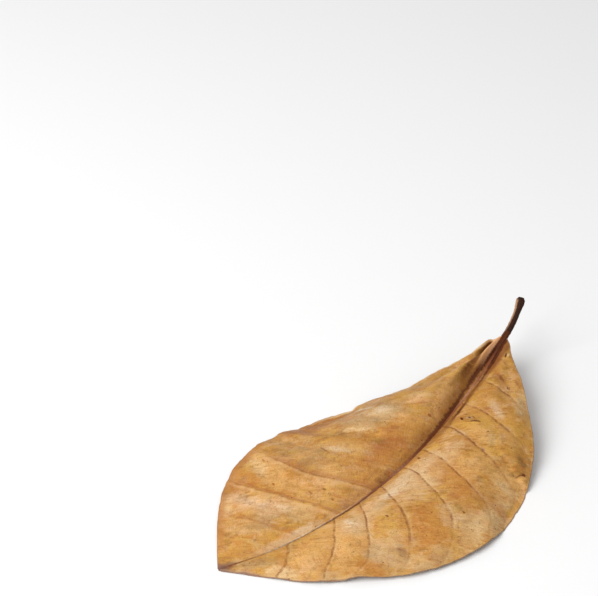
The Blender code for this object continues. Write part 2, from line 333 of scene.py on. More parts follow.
# The dip beside the midrib and the wall beyond it
def ribRelief(station, out, gap, side):
    ribEdge = smoothCurve(midrib["halfWidth"], station)
    deep = rising(station, 0.0, 0.05) * (0.35 + 0.65 * falling(station, 0.75, 0.5))
    deep = deep * falling(station, 0.97, 0.1)
    gutter = fineForm["gutter"][side] * bell(gap - ribEdge, fineForm["gutterWidth"]) * deep
    wall = rising(gap, fineForm["wallFrom"], fineForm["wallWidth"]) * falling(out, 1.0, 0.5)
    wall = fineForm["wall"][side] * wall * rising(station, 0.0, 0.08) * falling(station, 0.44, 0.2)
    return wall - gutter


# The sharp ridge and the hollow by the stalk; the gap from the midrib is in millimetres
def foldRelief(station, out, gap):
    ridge = bell(gap - smoothCurve(fineForm["foldRidgeAt"], station), fineForm["foldRidgeWidth"])
    ridge = ridge * falling(station, 0.16, 0.10)
    width, gain = fineForm["foldValleyWidth"]
    hollow = bell(gap - smoothCurve(fineForm["foldValleyAt"], station), width + gain * station)
    hollow = hollow * falling(station, 0.26, 0.14) * falling(out, 1.0, 0.12)
    start = rising(station, 0.004, 0.03)
    return (fineForm["foldRidge"] * ridge - fineForm["foldValley"] * hollow) * start


# Every panel leans from one side vein to the next
def panelRelief(station, out, side):
    count = veinCount(station, side)
    veinGap = (station - stationOfCount(np.round(count), side)) * leafForm["bladeLength"]
    real = rising(count, -0.5, 0.3) * falling(station, leafForm["lastVein"] + 0.02, 0.03)
    body = np.sin(np.pi * np.clip(out, 0.0, 1.0)) ** 0.6
    body = body * rising(station, 0.0, 0.06) * falling(station, 0.985, 0.08)
    lean = (count - np.floor(count) - 0.5) * rising(np.abs(veinGap), 0.0, 0.0016)
    return fineForm["panelTilt"][side] * lean * body * real


def fineRelief(station, out, side, points):
    gap = out * halfWidth(alongLeaf(station, out, side), side)
    relief = ribRelief(station, out, gap, side)
    if side > 0:
        relief = relief + foldRelief(station, out, gap / mm)
    crease = creaseAt(station, side, leafHalves[side]["creaseWidth"]) * mm
    relief = relief + crease * rising(out, 0.0, 0.06) * falling(out, 0.97, 0.35)
    relief = relief - panelRelief(station, out, side)
    relief = relief + noiseLayer(points, fineForm["pucker"]) * rising(out, 0.0, 0.1)
    relief = relief + noiseLayer(points, fineForm["grain"])
    rim = rising(out, 0.72, 0.28) * rising(station, 0.0, 0.10) * falling(station, 0.98, 0.06)
    return relief + noiseLayer(points, fineForm["crinkle"]) * rim + blemishRelief(points)


def thicknessAt(out):
    plain = leafBlade["thickness"]
    thick = plain + (leafBlade["rimThickness"] - plain) * rising(out, 0.8, 0.2)
    return thick + (leafBlade["ribThickness"] - plain) * falling(out, 0.16, 0.16)


# Points on the blade: share 0 is its lower face and 1 its upper face
def facePoints(station, out, side, share):
    station, out = np.broadcast_arrays(np.asarray(station, float), np.asarray(out, float))
    middle = middlePoints(station, out, side)
    normals = bladeNormals(station, out, side)
    points = middle - normals * leafForm["skin"] / 2
    points[..., 2] += fineRelief(station, out, side, middle)
    points = points + normals * thicknessAt(out)[..., None] * share
    return points, normals


# The blade: one thin closed sheet, with a row along every side vein
leafBlade = {
    "thickness": 0.00036,
    "ribThickness": 0.00055,
    "rimThickness": 0.00032,
    "rimRound": 0.35,
    "rowStep": 0.0034,
    "veinRows": (-0.0052, -0.0026, -0.0011, 0.0, 0.0011, 0.0026, 0.0052),  # rows beside a side vein
    "closest": 0.0009,  # of two rows, in stations
    "firstRow": 0.003,
    "lastRow": 0.9975,
    "baseTaper": 0.030,  # stations over which the blade widens from the stalk
    "places": 56,
    "crowding": 0.30,  # how much closer the places are at the midrib and the margin
    "tipPoint": 0.15 * mm,
}


def bladeStations():
    marks = [leafBlade["firstRow"], leafBlade["lastRow"]]
    for side in leafHalves:
        for vein in veinStations(side):
            marks.extend(vein + shift for shift in leafBlade["veinRows"])
    marks = sorted(mark for mark in marks if leafBlade["firstRow"] <= mark <= leafBlade["lastRow"])
    kept = [marks[0]]
    for mark in marks[1:]:
        if mark - kept[-1] >= leafBlade["closest"]:
            kept.append(mark)
    rows = [kept[0]]
    for start, end in zip(kept, kept[1:]):
        pieces = max(1, math.ceil((end - start) / leafBlade["rowStep"]))
        rows.extend(start + (end - start) * (step + 1) / pieces for step in range(pieces))
    return np.array(rows)


def loopQuads(rows, count):
    row, place = np.meshgrid(np.arange(rows - 1), np.arange(count), indexing="ij")
    beside = (place + 1) % count
    near, far = row * count, (row + 1) * count
    corners = (near + place, far + place, far + beside, near + beside)
    return np.stack(corners, axis=-1).reshape(-1, 4).tolist()


def addPiece(name, data):
    piece = bpy.data.objects.new(name, data)
    bpy.context.scene.collection.objects.link(piece)
    return piece


def closedLoft(name, rings, firstMiddle, lastMiddle):
    rows, count = rings.shape[:2]
    points = np.concatenate((rings.reshape(-1, 3), [firstMiddle, lastMiddle]))
    faces = loopQuads(rows, count)
    first, last = rows * count, rows * count + 1
    start = (rows - 1) * count
    for place in range(count):
        beside = (place + 1) % count
        faces.append((first, place, beside))
        faces.append((last, start + beside, start + place))
    mesh = bpy.data.meshes.new(name)
    mesh.from_pydata(points.tolist(), [], faces)
    mesh.shade_smooth()
    return addPiece(name, mesh)


def storeVectors(mesh, label, vectors):
    attribute = mesh.attributes.new(label, "FLOAT_VECTOR", "POINT")
    attribute.data.foreach_set("vector", np.asarray(vectors, np.float32).ravel())


def storeValues(mesh, label, values):
    attribute = mesh.attributes.new(label, "FLOAT", "POINT")
    attribute.data.foreach_set("value", np.asarray(values, np.float32).ravel())


def halfSheet(stations, side):
    steps = np.linspace(0.0, 1.0, leafBlade["places"] + 1)
    outs = steps - leafBlade["crowding"] * np.sin(2 * np.pi * steps) / (2 * np.pi)
    taper = fade((stations - leafBlade["firstRow"]) / leafBlade["baseTaper"] + 0.08)
    out = np.minimum(taper, 1.0)[:, None] * outs[None, :]
    station = np.repeat(stations[:, None], len(outs), axis=1)
    lower, normals = facePoints(station, out, side, 0.0)
    lower[..., 2] = np.maximum(lower[..., 2], 0.0)
    upper = lower + normals * thicknessAt(out)[..., None]

    # the reach runs on from row to row, so that the cross veins keep their rungs
    lengths = np.linalg.norm(np.diff(lower, axis=1), axis=-1)
    reach = np.concatenate((np.zeros((len(stations), 1)), np.cumsum(lengths, axis=1)), axis=1)
    column = len(outs) // 3
    ahead = np.gradient(lower[:, column], axis=0)
    outward = unit(lower[:, column + 1] - lower[:, column])
    drift = np.cumsum(np.sum(ahead * outward, axis=-1))
    gap = out * halfWidth(alongLeaf(station, out, side), side) / mm
    place = np.stack((station, side * out, side * gap), axis=-1)
    folds = np.stack((gap - smoothCurve(fineForm["foldRidgeAt"], station),
                      gap - smoothCurve(fineForm["foldValleyAt"], station),
                      creaseAt(station, side, fineForm["creaseShade"])), axis=-1)
    veins = np.stack((veinCount(station, side), (reach + drift[:, None]) / mm,
                      (reach[:, -1:] - reach) / mm), axis=-1)
    return upper, lower, place, veins, folds


def bothHalves(left, right):
    return np.concatenate((left[:, ::-1], right[:, 1:]), axis=1)


def aroundRing(upper, rightRim, lower, leftRim):
    return np.concatenate((upper, rightRim[:, None], lower[:, ::-1], leftRim[:, None]), axis=1)


def rimPoints(upper, lower, edge, inside):
    middle = (upper + lower) / 2
    thick = np.linalg.norm(upper[:, edge] - lower[:, edge], axis=-1, keepdims=True)
    return middle[:, edge] + unit(middle[:, edge] - middle[:, inside]) * thick * leafBlade["rimRound"]


def makeBlade():
    stations = bladeStations()
    parts = [bothHalves(left, right) for left, right in zip(halfSheet(stations, 1), halfSheet(stations, -1))]
    upper, lower, place, veins, folds = parts
    leftRim, rightRim = rimPoints(upper, lower, 0, 1), rimPoints(upper, lower, -1, -2)
    rings = aroundRing(upper, rightRim, lower, leftRim)
    firstMiddle = rings[0].mean(axis=0)
    lastMiddle = rings[-1].mean(axis=0) - np.array([leafBlade["tipPoint"], 0.0, 0.0])
    blade = closedLoft("leafBlade", rings, firstMiddle, lastMiddle)

    onUpper = np.concatenate((np.ones(upper.shape[1]), [0.5], np.zeros(upper.shape[1]), [0.5]))
    for label, values in (("leafPlace", place), ("veinPlace", veins), ("foldPlace", folds)):
        around = aroundRing(values, values[:, -1], values, values[:, 0]).reshape(-1, 3)
        storeVectors(blade.data, label, np.concatenate((around, values[0, :1], values[-1, :1])))
    storeValues(blade.data, "upperFace", np.concatenate((np.tile(onUpper, len(stations)), [0.5, 0.5])))
    print("blade:", len(stations), "rows,", len(blade.data.polygons), "faces")
    return blade


# Midrib and stalk: one tapering body that runs the whole length, with a crest above and a keel below
midrib = {
    "radius": 0.00165,
    "endRadius": 0.0022,
    "reach": (0.0130, 0.0036, 0.0118),
    "blendOver": 0.045,  # stations over which the round stalk turns into the rib
    "stalkTop": 0.85,
    "halfWidth": [(0.0, 0.0021), (0.3, 0.0016), (0.7, 0.0011), (1.0, 0.0008)],
    "keel": [(0.0, 0.0022), (0.3, 0.0015), (0.7, 0.0008), (1.0, 0.0003)],
    "crest": [(0.0, 0.0012), (0.3, 0.0009), (0.7, 0.0005), (1.0, 0.0002)],
    "crestWidth": [(0.0, 0.95), (0.3, 0.90), (0.5, 0.74), (1.0, 0.62)],  # share of the half width
    "groove": [(0.0, 0.10), (0.10, 0.22), (0.45, 0.10), (0.7, 0.0), (1.0, 0.0)],
    "grooveWidth": 0.35,
    "around": 48,
    "ribRows": 300,
    "stalkRows": 44,
    "girth": 0.94,  # share left after drying
    "fibres": 11,
    "fibreDepth": 0.030,
    "shrivel": 0.055,
    "scarDepth": 0.00045,
    "scar": ((0.30, 0.85), (0.62, 1.0), (0.80, 0.55), (0.90, 0.05)),  # share of radius, share of depth
    "scarPart": -1.02,
    "tipDent": 0.10 * mm,
    "tones": [(0.0, "stalkDark"), (0.05, "stalkDark"), (0.10, "crestBrown"), (0.155, "darkPink"),
              (0.21, "crestPink"), (0.27, "darkPink"), (0.35, "darkPink"), (0.40, "crestBrown"),
              (0.45, "darkPink"), (0.51, "crestPink"), (0.56, "darkPink"), (0.62, "crestPink"),
              (0.72, "tan"), (0.82, "bone"), (0.92, "tan"), (1.0, "rust")],
}


def stalkMiddle(back):
    bend = np.stack((back * (1.3 - 0.3 * back), back, 0.55 * back + 0.45 * back ** 2), axis=-1)
    start = np.array([leafForm["bladeLength"] / 2, 0.0, leafForm["ribHeight"][0][1]])
    start = start - np.array([leafForm["originX"], leafForm["originY"], 0.0])
    return start + np.array(midrib["reach"]) * bend


def stalkRadius(back):
    swollen = midrib["radius"] + (midrib["endRadius"] - midrib["radius"]) * rising(back, 0.6, 0.3)
    return swollen * (1 - 0.35 * rising(back, 0.93, 0.07))


# A part runs from -1 at the stalk's end over 0, where the blade starts, to 1 at the tip
def ribMiddle(part):
    part = np.asarray(part, float)
    onBlade = middlePoints(np.clip(part, 0.0, 1.0), np.zeros_like(part), 1)
    return np.where(part[:, None] < 0, stalkMiddle(np.clip(-part, 0.0, 1.0)), onBlade)


def ribRings(parts, shrink):
    around = midrib["around"]
    step = 0.004
    forward = unit(ribMiddle(parts - step) - ribMiddle(parts + step))
    left = unit(np.cross(np.array([0.0, 0.0, 1.0]), forward))
    up = np.cross(forward, left)
    turn = 2 * np.pi * np.arange(around) / around
    sideways, upward = np.cos(turn)[None, :], np.sin(turn)[None, :]
    station = np.clip(parts, 0.0, 1.0)[:, None]
    back = np.clip(-parts, 0.0, 1.0)[:, None]

    radius = stalkRadius(back)
    roundWidth = radius * np.ones_like(sideways)
    roundUp, roundDown = midrib["stalkTop"] * radius, radius
    width = smoothCurve(midrib["halfWidth"], station)
    top = smoothCurve(midrib["crest"], station) + leafBlade["ribThickness"] / 2
    groove = smoothCurve(midrib["groove"], station) * bell(sideways, midrib["grooveWidth"])
    flat = width * np.where(upward > 0, smoothCurve(midrib["crestWidth"], station), 1.0)
    keel = smoothCurve(midrib["keel"], station) + leafBlade["ribThickness"] / 2
    mix = fade(parts / midrib["blendOver"])[:, None]

    wide = roundWidth * (1 - mix) + flat * mix
    crestHigh = roundUp * (1 - mix) + top * (1 - groove) * mix
    keelDeep = roundDown * (1 - mix) + keel * mix
    high = np.where(upward > 0, crestHigh, keelDeep)
    length = (parts * leafForm["bladeLength"] / 0.010)[:, None]
    fibre = np.sin(midrib["fibres"] * turn[None, :] + 0.8 * np.sin(1.7 * length) + 1.1)
    fibre = fibre + 0.6 * np.sin((2 * midrib["fibres"] + 3) * turn[None, :] - 0.9 * np.sin(0.9 * length))
    wrinkle = np.sin(5 * turn[None, :] + 0.7 * length + 0.6) * np.sin(2.9 * length + 2.0 * turn[None, :])
    dried = midrib["fibreDepth"] * fibre
    dried = dried + midrib["shrivel"] * (1 - mix) * wrinkle * falling(back, 0.97, 0.1)
    size = (midrib["girth"] + 0.8 * dried) * shrink[:, None]
    centre = ribMiddle(parts)[:, None, :]
    offset = left[:, None, :] * (sideways * wide * size)[..., None]
    offset = offset + up[:, None, :] * (upward * high * size)[..., None]
    return centre + offset, turn


def makeMidrib():
    stalkParts = -(1 - np.linspace(0.0, 1.0, midrib["stalkRows"], endpoint=False) ** 1.2)
    bladeParts = np.linspace(0.0, 1.0, midrib["ribRows"])
    parts = np.concatenate((stalkParts, bladeParts))
    rings, turn = ribRings(parts, 1 - 0.55 * rising(parts, 0.975, 0.025))
    first = rings[0]
    middle = first.mean(axis=0)
    inward = unit(rings[2].mean(axis=0) - middle) * midrib["scarDepth"]
    scar = [middle + (first - middle) * share + inward * depth for share, depth in midrib["scar"]]
    rings = np.concatenate((np.array(scar), rings))
    lastMiddle = rings[-1].mean(axis=0) + np.array([midrib["tipDent"], 0.0, 0.0])
    rings[..., 2] = np.maximum(rings[..., 2], 0.0)
    rib = closedLoft("midribStalk", rings, middle + inward * 0.6, lastMiddle)

    scarPart = midrib["scarPart"]
    parts = np.concatenate((np.full(len(scar), scarPart), parts))
    grid = np.stack(np.broadcast_arrays(parts[:, None], np.cos(turn), np.sin(turn)), axis=-1)
    ends = np.array([[scarPart, 0.0, 0.0], [1.0, 0.0, 0.0]])
    storeVectors(rib.data, "ribPlace", np.concatenate((grid.reshape(-1, 3), ends)))
    station = np.clip(parts, 0.0, 1.0)[:, None]
    crestWidth = np.where(grid[..., 2] > 0, smoothCurve(midrib["crestWidth"], station), 1.0)
    gap = grid[..., 1] * (smoothCurve(midrib["halfWidth"], station) * crestWidth) / mm
    storeValues(rib.data, "ribGap", np.concatenate((gap.ravel(), [0.0, 0.0])))
    print("midrib and stalk:", len(rib.data.polygons), "faces")
    return rib


def addNode(tree, kind, sockets=None, **settings):
    made = tree.nodes.new(kind)
    for name, value in settings.items():
        setattr(made, name, value)
    for name, value in (sockets or {}).items():
        if isinstance(value, bpy.types.NodeSocket):
            tree.links.new(value, made.inputs[name])
        else:
            made.inputs[name].default_value = value
    return made


def newGroup(name, kind, inputs, outputs):
    tree = bpy.data.node_groups.new(name, kind)
    for label, socket, value in inputs:
        made = tree.interface.new_socket(label, in_out="INPUT", socket_type="NodeSocket" + socket)
        if value is not None:
            made.default_value = value
    for label, socket in outputs:
        tree.interface.new_socket(label, in_out="OUTPUT", socket_type="NodeSocket" + socket)
    return tree, tree.nodes.new("NodeGroupInput").outputs, tree.nodes.new("NodeGroupOutput")


def setInput(modifier, label, value):
    for item in modifier.node_group.interface.items_tree:
        if item.item_type == "SOCKET" and item.in_out == "INPUT" and item.name == label:
            modifier[item.identifier] = value


# Runs a Geometry Nodes tree on a mesh and keeps the result as a plain mesh
def grown(name, source, tree, values):
    carrier = addPiece(name + "Carrier", source)
    modifier = carrier.modifiers.new("grow", "NODES")
    modifier.node_group = tree
    for label, value in values.items():
        setInput(modifier, label, value)
    carrier.update_tag()
    view = bpy.context.evaluated_depsgraph_get()
    mesh = bpy.data.meshes.new_from_object(carrier.evaluated_get(view), depsgraph=view)
    bpy.data.objects.remove(carrier)
    mesh.name = name
    print(name + ":", len(mesh.polygons), "faces")
    return addPiece(name, mesh)


def calculate(tree, operation, first, second=0.0, third=0.0):
    made = addNode(tree, "ShaderNodeMath", {0: first, 1: second, 2: third}, operation=operation)
    return made.outputs["Value"]


def product(tree, *values):
    result = values[0]
    for value in values[1:]:
        result = calculate(tree, "MULTIPLY", result, value)
    return result


def tubeTree():
    inputs = [("Geometry", "Geometry", None), ("Thickness", "Float", 1.0), ("Sides", "Int", 6),
              ("Finish", "Material", None)]
    tree, given, result = newGroup("veinTubes", "GeometryNodeTree", inputs, [("Geometry", "Geometry")])
    lines = addNode(tree, "GeometryNodeMeshToCurve", {"Mesh": given["Geometry"]})
    radius = addNode(tree, "GeometryNodeInputNamedAttribute", {"Name": "tubeRadius"}, data_type="FLOAT")
    thick = product(tree, radius.outputs["Attribute"], given["Thickness"])
    ring = addNode(tree, "GeometryNodeCurvePrimitiveCircle", {"Resolution": given["Sides"], "Radius": 1.0})
    tube = addNode(tree, "GeometryNodeCurveToMesh", {
        "Curve": lines.outputs["Curve"], "Profile Curve": ring.outputs["Curve"],
        "Scale": thick, "Fill Caps": True})
    soft = addNode(tree, "GeometryNodeSetShadeSmooth", {"Geometry": tube.outputs["Mesh"]})
    real = addNode(tree, "GeometryNodeRealizeInstances", {"Geometry": soft.outputs["Geometry"]})
    painted = addNode(tree, "GeometryNodeSetMaterial", {
        "Geometry": real.outputs["Geometry"], "Material": given["Finish"]})
    tree.links.new(painted.outputs["Geometry"], result.inputs["Geometry"])
    return tree


# Side veins: one from the midrib to the margin at every vein station,
# with a thin fork each and short veins between them
sideVeins = {
    "stepLength": 0.0008,
    "startRadius": 0.00036,
    "endRadius": 0.00010,
    "thinning": 1.3,
    "ends": (0.93, 0.98),
    "forkFrom": (0.35, 0.55),
    "forkTo": 0.88,
    "forkLean": (-0.42, 0.45, 0.50),  # share of the way to the next side vein
    "forkRadius": 0.00015,
    "between": 0.34,  # how far out the short veins run
    "betweenRadius": 0.00013,
    "upperThickness": 0.42,
    "lowerThickness": 1.25,
    "sides": 6,
    "seed": 11,
}

# Cross veins: the ladder between two side veins, at right angles to them
crossVeins = {
    "stations": (0.03, 0.955),  # none beyond these, nor outside these outs
    "outs": (0.012, 0.975),
    "leastCell": 0.02,
    "spacing": 0.0017,
    "jitter": 0.32,  # of the spacing
    "radius": 0.00009,
    "upperThickness": 0.55,
    "lowerThickness": 1.15,
    "steps": 5,
    "sway": 0.0007,
    "slant": {1: 0.0, -1: -0.96},  # how far they lean back towards the stalk
    "missing": 0.06,
    "wallClear": 0.0065,  # none this close to the midrib on the steep left wall
    "forked": 0.40,
    "forkFrom": 0.35,
    "forkOver": 0.5,
    "sides": 4,
    "seed": 5,
}


def veinPath(side, stations, outs, startRadius, endRadius, power=1.0):
    part = np.linspace(0.0, 1.0, len(stations))
    radius = endRadius + (startRadius - endRadius) * (1 - part) ** power
    return {"side": side, "station": np.asarray(stations), "out": np.asarray(outs), "radius": radius}


def pathCount(side, station, share):
    length = float(halfWidth(np.array(min(station + 0.05, 1.0)), side)) * share * 1.15
    return max(6, int(length / sideVeins["stepLength"]))


def sideVeinPaths():
    pick = random.Random(sideVeins["seed"])
    paths = []
    for side in leafHalves:
        stations = veinStations(side)
        for index, station in enumerate(stations):
            size = 0.45 + 0.55 * min(1.0, float(halfWidth(station + 0.06, side)) / 0.045)
            end = pick.uniform(*sideVeins["ends"])
            count = pathCount(side, station, end)
            outs = np.linspace(0.0, end, count)
            start = sideVeins["startRadius"] * size
            paths.append(veinPath(side, np.full(count, station), outs, start, sideVeins["endRadius"],
                                  sideVeins["thinning"]))

            ahead = stationOfCount(index + 1.0, side) - station
            part = np.linspace(0.0, 1.0, count // 2 + 4)
            start = pick.uniform(*sideVeins["forkFrom"])
            lean = pick.choice(sideVeins["forkLean"])
            outs = start + (sideVeins["forkTo"] - start) * part
            radius = sideVeins["forkRadius"] * size
            paths.append(veinPath(side, station + lean * ahead * part ** 0.8, outs, radius, radius * 0.35))

            part = np.linspace(0.0, 1.0, count // 3 + 4)
            outs = sideVeins["between"] * pick.uniform(0.6, 1.3) * part
            middle = station + ahead * pick.uniform(0.40, 0.60)
            radius = sideVeins["betweenRadius"] * size
            paths.append(veinPath(side, np.full(len(part), min(middle, 0.97)), outs, radius, radius * 0.3))
    return paths


def acrossSlope(station, out, side):
    step = 0.001
    ahead = (middlePoints(station + step, out, side) - middlePoints(station - step, out, side))[..., :2]
    low, high = np.maximum(out - step, 0.0), np.minimum(out + step, 1.0)
    outward = (middlePoints(station, high, side) - middlePoints(station, low, side))[..., :2]
    outward = outward / ((high - low) / (2 * step))[..., None]
    return -np.sum(ahead * outward, axis=-1) / np.maximum(np.sum(outward * outward, axis=-1), 1e-12)


def onWall(station, out, side):
    gap = np.abs(out) * halfWidth(alongLeaf(station, np.clip(out, 0.0, 1.0), side), side)
    return (side > 0) & (station < 0.32) & (gap < crossVeins["wallClear"])


# Leads every rung from the middle of its cell to the side veins on both sides, across them
def sweepRungs(starts, side, low, high, slope):
    middle = (low + high) / 2
    sweep = []
    for target in (low, high):
        outs, stations = starts.copy(), np.full(len(starts), middle)
        step = (target - middle) / crossVeins["steps"]
        trail = []
        for _ in range(crossVeins["steps"]):
            outs = outs + (acrossSlope(stations, np.clip(outs, 0.0, 1.0), side) + slope) * step
            stations = stations + step
            trail.append(outs.copy())
        sweep.append(np.array(trail))
    return np.concatenate((sweep[0][::-1], starts[None], sweep[1]))


def addRung(paths, side, stations, outs, wanted, startRadius, endRadius):
    near, far = crossVeins["outs"]
    inside = wanted & (outs > near) & (outs < far) & ~onWall(stations, outs, side)
    if inside.sum() > 3:
        paths.append(veinPath(side, stations[inside], outs[inside], startRadius, endRadius))


# The rungs of one cell, which is the panel between two side veins
def addCell(paths, pick, side, low, high):
    length = float(halfWidth(np.array(min((low + high) / 2 + 0.06, 1.0)), side)) * 1.12
    slope = crossVeins["slant"][side] * leafForm["bladeLength"] / length
    overhang = abs(slope) * (high - low)
    count = max(3, int(length / crossVeins["spacing"]))
    count = int(count * (1 + overhang))
    jitter = crossVeins["jitter"]
    starts = (np.arange(count) + 0.5 + pick.uniform(-jitter, jitter, count)) / count
    rungs = sweepRungs(starts * (1 + overhang) - overhang / 2, side, low, high, slope)
    stations = np.linspace(low, high, len(rungs))
    part = np.linspace(0.0, 1.0, len(rungs))
    sway = crossVeins["sway"] / length * pick.uniform(-1, 1, count)
    turns = pick.uniform(0.7, 1.6, count)
    rungs = rungs + sway * np.sin(np.pi * part[:, None] * turns) * np.sin(np.pi * part)[:, None] ** 0.5
    kept = pick.uniform(0, 1, count) > crossVeins["missing"]
    forks = pick.uniform(0, 1, count) < crossVeins["forked"]
    blend = np.clip((part - crossVeins["forkFrom"]) / crossVeins["forkOver"], 0.0, 1.0)
    forkPart = (part > 0.3) & (part < 0.9)
    for index in range(count):
        outs = rungs[:, index]
        radius = crossVeins["radius"] * pick.uniform(0.8, 1.25)
        addRung(paths, side, stations, outs, kept[index], radius, radius * 0.9)
        if forks[index] and index + 1 < count:
            outs = outs * (1 - blend) + rungs[:, index + 1] * blend
            addRung(paths, side, stations, outs, forkPart, radius * 0.8, radius * 0.7)


def crossVeinPaths():
    pick = np.random.default_rng(crossVeins["seed"])
    first, last = crossVeins["stations"]
    paths = []
    for side in leafHalves:
        for cell in range(-1, len(veinStations(side))):
            low, high = stationOfCount(np.array([float(cell), cell + 1.0]), side)
            low, high = max(low, first), min(high, last)
            if high - low >= crossVeins["leastCell"]:
                addCell(paths, pick, side, low, high)
    return paths


# Every path as a line of edges: share is 0 on the lower face and 1 on the upper one,
# and sink moves the line along the face's normal, in radii
def pathMesh(name, paths, share, sink):
    points, radii, places, edges = [], [], [], []
    for side in leafHalves:
        chosen = [path for path in paths if path["side"] == side]
        station = np.concatenate([path["station"] for path in chosen])
        out = np.concatenate([path["out"] for path in chosen])
        radius = np.concatenate([path["radius"] for path in chosen])
        onFace, normals = facePoints(station, out, side, share)
        centres = onFace + normals * (radius * sink)[:, None]
        centres[:, 2] = np.maximum(centres[:, 2], radius * 1.25)
        first = sum(len(part) for part in points)
        for path in chosen:
            count = len(path["station"])
            edges.extend((first + step, first + step + 1) for step in range(count - 1))
            first += count
        points.append(centres)
        radii.append(radius)
        ribGap = side * out * halfWidth(alongLeaf(station, out, side), side) / mm
        places.append(np.stack((station, side * out, ribGap), axis=-1))
    mesh = bpy.data.meshes.new(name)
    mesh.from_pydata(np.concatenate(points).tolist(), edges, [])
    storeValues(mesh, "tubeRadius", np.concatenate(radii))
    storeVectors(mesh, "leafPlace", np.concatenate(places))
    return mesh


def makeVeins(finish):
    tree = tubeTree()
    made = []
    layers = (("Upper", 1.0, -0.20, "upperThickness"), ("Lower", 0.0, 0.25, "lowerThickness"))
    for title, settings, paths in (("sideVeins", sideVeins, sideVeinPaths()),
                                   ("crossVeins", crossVeins, crossVeinPaths())):
        for layer, share, sink, thickness in layers:
            source = pathMesh(title + layer, paths, share, sink)
            values = {"Thickness": settings[thickness], "Sides": settings["sides"], "Finish": finish}
            made.append(grown(title + layer, source, tree, values))
    return made


# Specks: small raised dark dots scattered over the upper face
specks = {
    "density": 9000.0,  # a square metre
    "leastGap": 0.004,
    "size": 0.00020,
    "leastShape": (0.5, 0.5, 0.16),  # low ovals, between these two
    "mostShape": (1.9, 1.6, 0.34),
    "seed": 3,
}


def speckTree():
    inputs = [("Geometry", "Geometry", None), ("Density", "Float", specks["density"]),
              ("Least Gap", "Float", specks["leastGap"]), ("Size", "Float", specks["size"]),
              ("Seed", "Int", specks["seed"]), ("Finish", "Material", None)]
    tree, given, result = newGroup("speckScatter", "GeometryNodeTree", inputs, [("Geometry", "Geometry")])
    upper = addNode(tree, "GeometryNodeInputNamedAttribute", {"Name": "upperFace"}, data_type="FLOAT")
    chosen = addNode(tree, "FunctionNodeCompare", {0: upper.outputs["Attribute"], 1: 0.9},
                     operation="GREATER_THAN")
    spots = addNode(tree, "GeometryNodeDistributePointsOnFaces", distribute_method="POISSON", sockets={
        "Mesh": given["Geometry"], "Selection": chosen.outputs["Result"],
        "Distance Min": given["Least Gap"], "Density Max": given["Density"], "Seed": given["Seed"]})
    dot = addNode(tree, "GeometryNodeMeshIcoSphere", {"Radius": given["Size"], "Subdivisions": 2})
    sizes = addNode(tree, "FunctionNodeRandomValue", data_type="FLOAT_VECTOR", sockets={
        "Min": specks["leastShape"], "Max": specks["mostShape"], "Seed": given["Seed"]})
    placed = addNode(tree, "GeometryNodeInstanceOnPoints", {
        "Points": spots.outputs["Points"], "Instance": dot.outputs["Mesh"],
        "Rotation": spots.outputs["Rotation"], "Scale": sizes.outputs["Value"]})
    real = addNode(tree, "GeometryNodeRealizeInstances", {"Geometry": placed.outputs["Instances"]})
    soft = addNode(tree, "GeometryNodeSetShadeSmooth", {"Geometry": real.outputs["Geometry"]})
    painted = addNode(tree, "GeometryNodeSetMaterial", {
        "Geometry": soft.outputs["Geometry"], "Material": given["Finish"]})
    tree.links.new(painted.outputs["Geometry"], result.inputs["Geometry"])
    return tree


def makeSpecks(blade, finish):
    values = {"Density": specks["density"], "Least Gap": specks["leastGap"], "Size": specks["size"],
              "Seed": specks["seed"], "Finish": finish}
    return grown("darkSpecks", blade.data.copy(), speckTree(), values)


# Tones of the dried leaf, 0 to 255 as on a screen
leafTones = {
    "tan": (208, 158, 94),
    "ochre": (198, 144, 70),
    "amber": (200, 138, 66),
    "honey": (228, 178, 112),
    "gold": (216, 168, 82),
    "deepGold": (184, 134, 48),
    "cream": (238, 206, 158),
    "blush": (236, 192, 146),
    # whitish: real bloom, and painted sheen in the whitish patches
    "bloom": (240, 220, 196),
    "bone": (212, 178, 132),
    "greyBeige": (184, 150, 104),
    "olive": (138, 100, 40),
    "rust": (166, 92, 44),
    "brick": (124, 62, 26),
    "umber": (88, 38, 10),
    "plum": (126, 92, 80),
    "margin": (138, 104, 88),
    "underTan": (198, 158, 110),
    "underGrey": (180, 146, 106),
    "vein": (140, 86, 42),
    "crestPink": (190, 134, 102),
    # the first is painted light on the fold's ridge by the stalk; the second, painted shade in its hollow,
    # also tints an olive spot
    "paintedRidgeLight": (246, 184, 130),
    "hollow": (112, 62, 14),
    "sienna": (138, 84, 38),
    # brown along the far left margin, partly painted shadow
    "marginBrownShadow": (178, 118, 62),
    "paleBone": (228, 194, 150),
    "darkPink": (150, 92, 58),
    "crestBrown": (132, 74, 44),
    # painted light: the lit side of the stalk
    "stalkLitSide": (190, 146, 110),
    "stalkDark": (50, 25, 13),
}


# The same tone as Blender's linear light
def tone(name):
    parts = [channel / 255 for channel in leafTones[name]]
    linear = [part / 12.92 if part <= 0.04045 else ((part + 0.055) / 1.055) ** 2.4 for part in parts]
    return (*linear, 1.0)


def added(tree, first, second):
    return calculate(tree, "ADD", first, second)


def less(tree, first, second):
    return calculate(tree, "SUBTRACT", first, second)


# How far a pattern is from its middle value, times an amount
def swing(tree, pattern, amount):
    return product(tree, less(tree, pattern, 0.5), amount)


def mixColor(tree, factor, first, second, blend="MIX"):
    sockets = {0: factor, 6: first, 7: second}
    return addNode(tree, "ShaderNodeMix", sockets, data_type="RGBA", blend_type=blend).outputs[2]


def mixValue(tree, factor, first, second):
    return addNode(tree, "ShaderNodeMix", {0: factor, 2: first, 3: second}, data_type="FLOAT").outputs[0]


# A smooth step clamps by itself, and the node's own clamp would overfill a large shader
def mapped(tree, value, start, end, low=0.0, high=1.0):
    sockets = {"Value": value, "From Min": start, "From Max": end, "To Min": low, "To Max": high}
    made = addNode(tree, "ShaderNodeMapRange", sockets, interpolation_type="SMOOTHSTEP", clamp=False)
    return made.outputs["Result"]


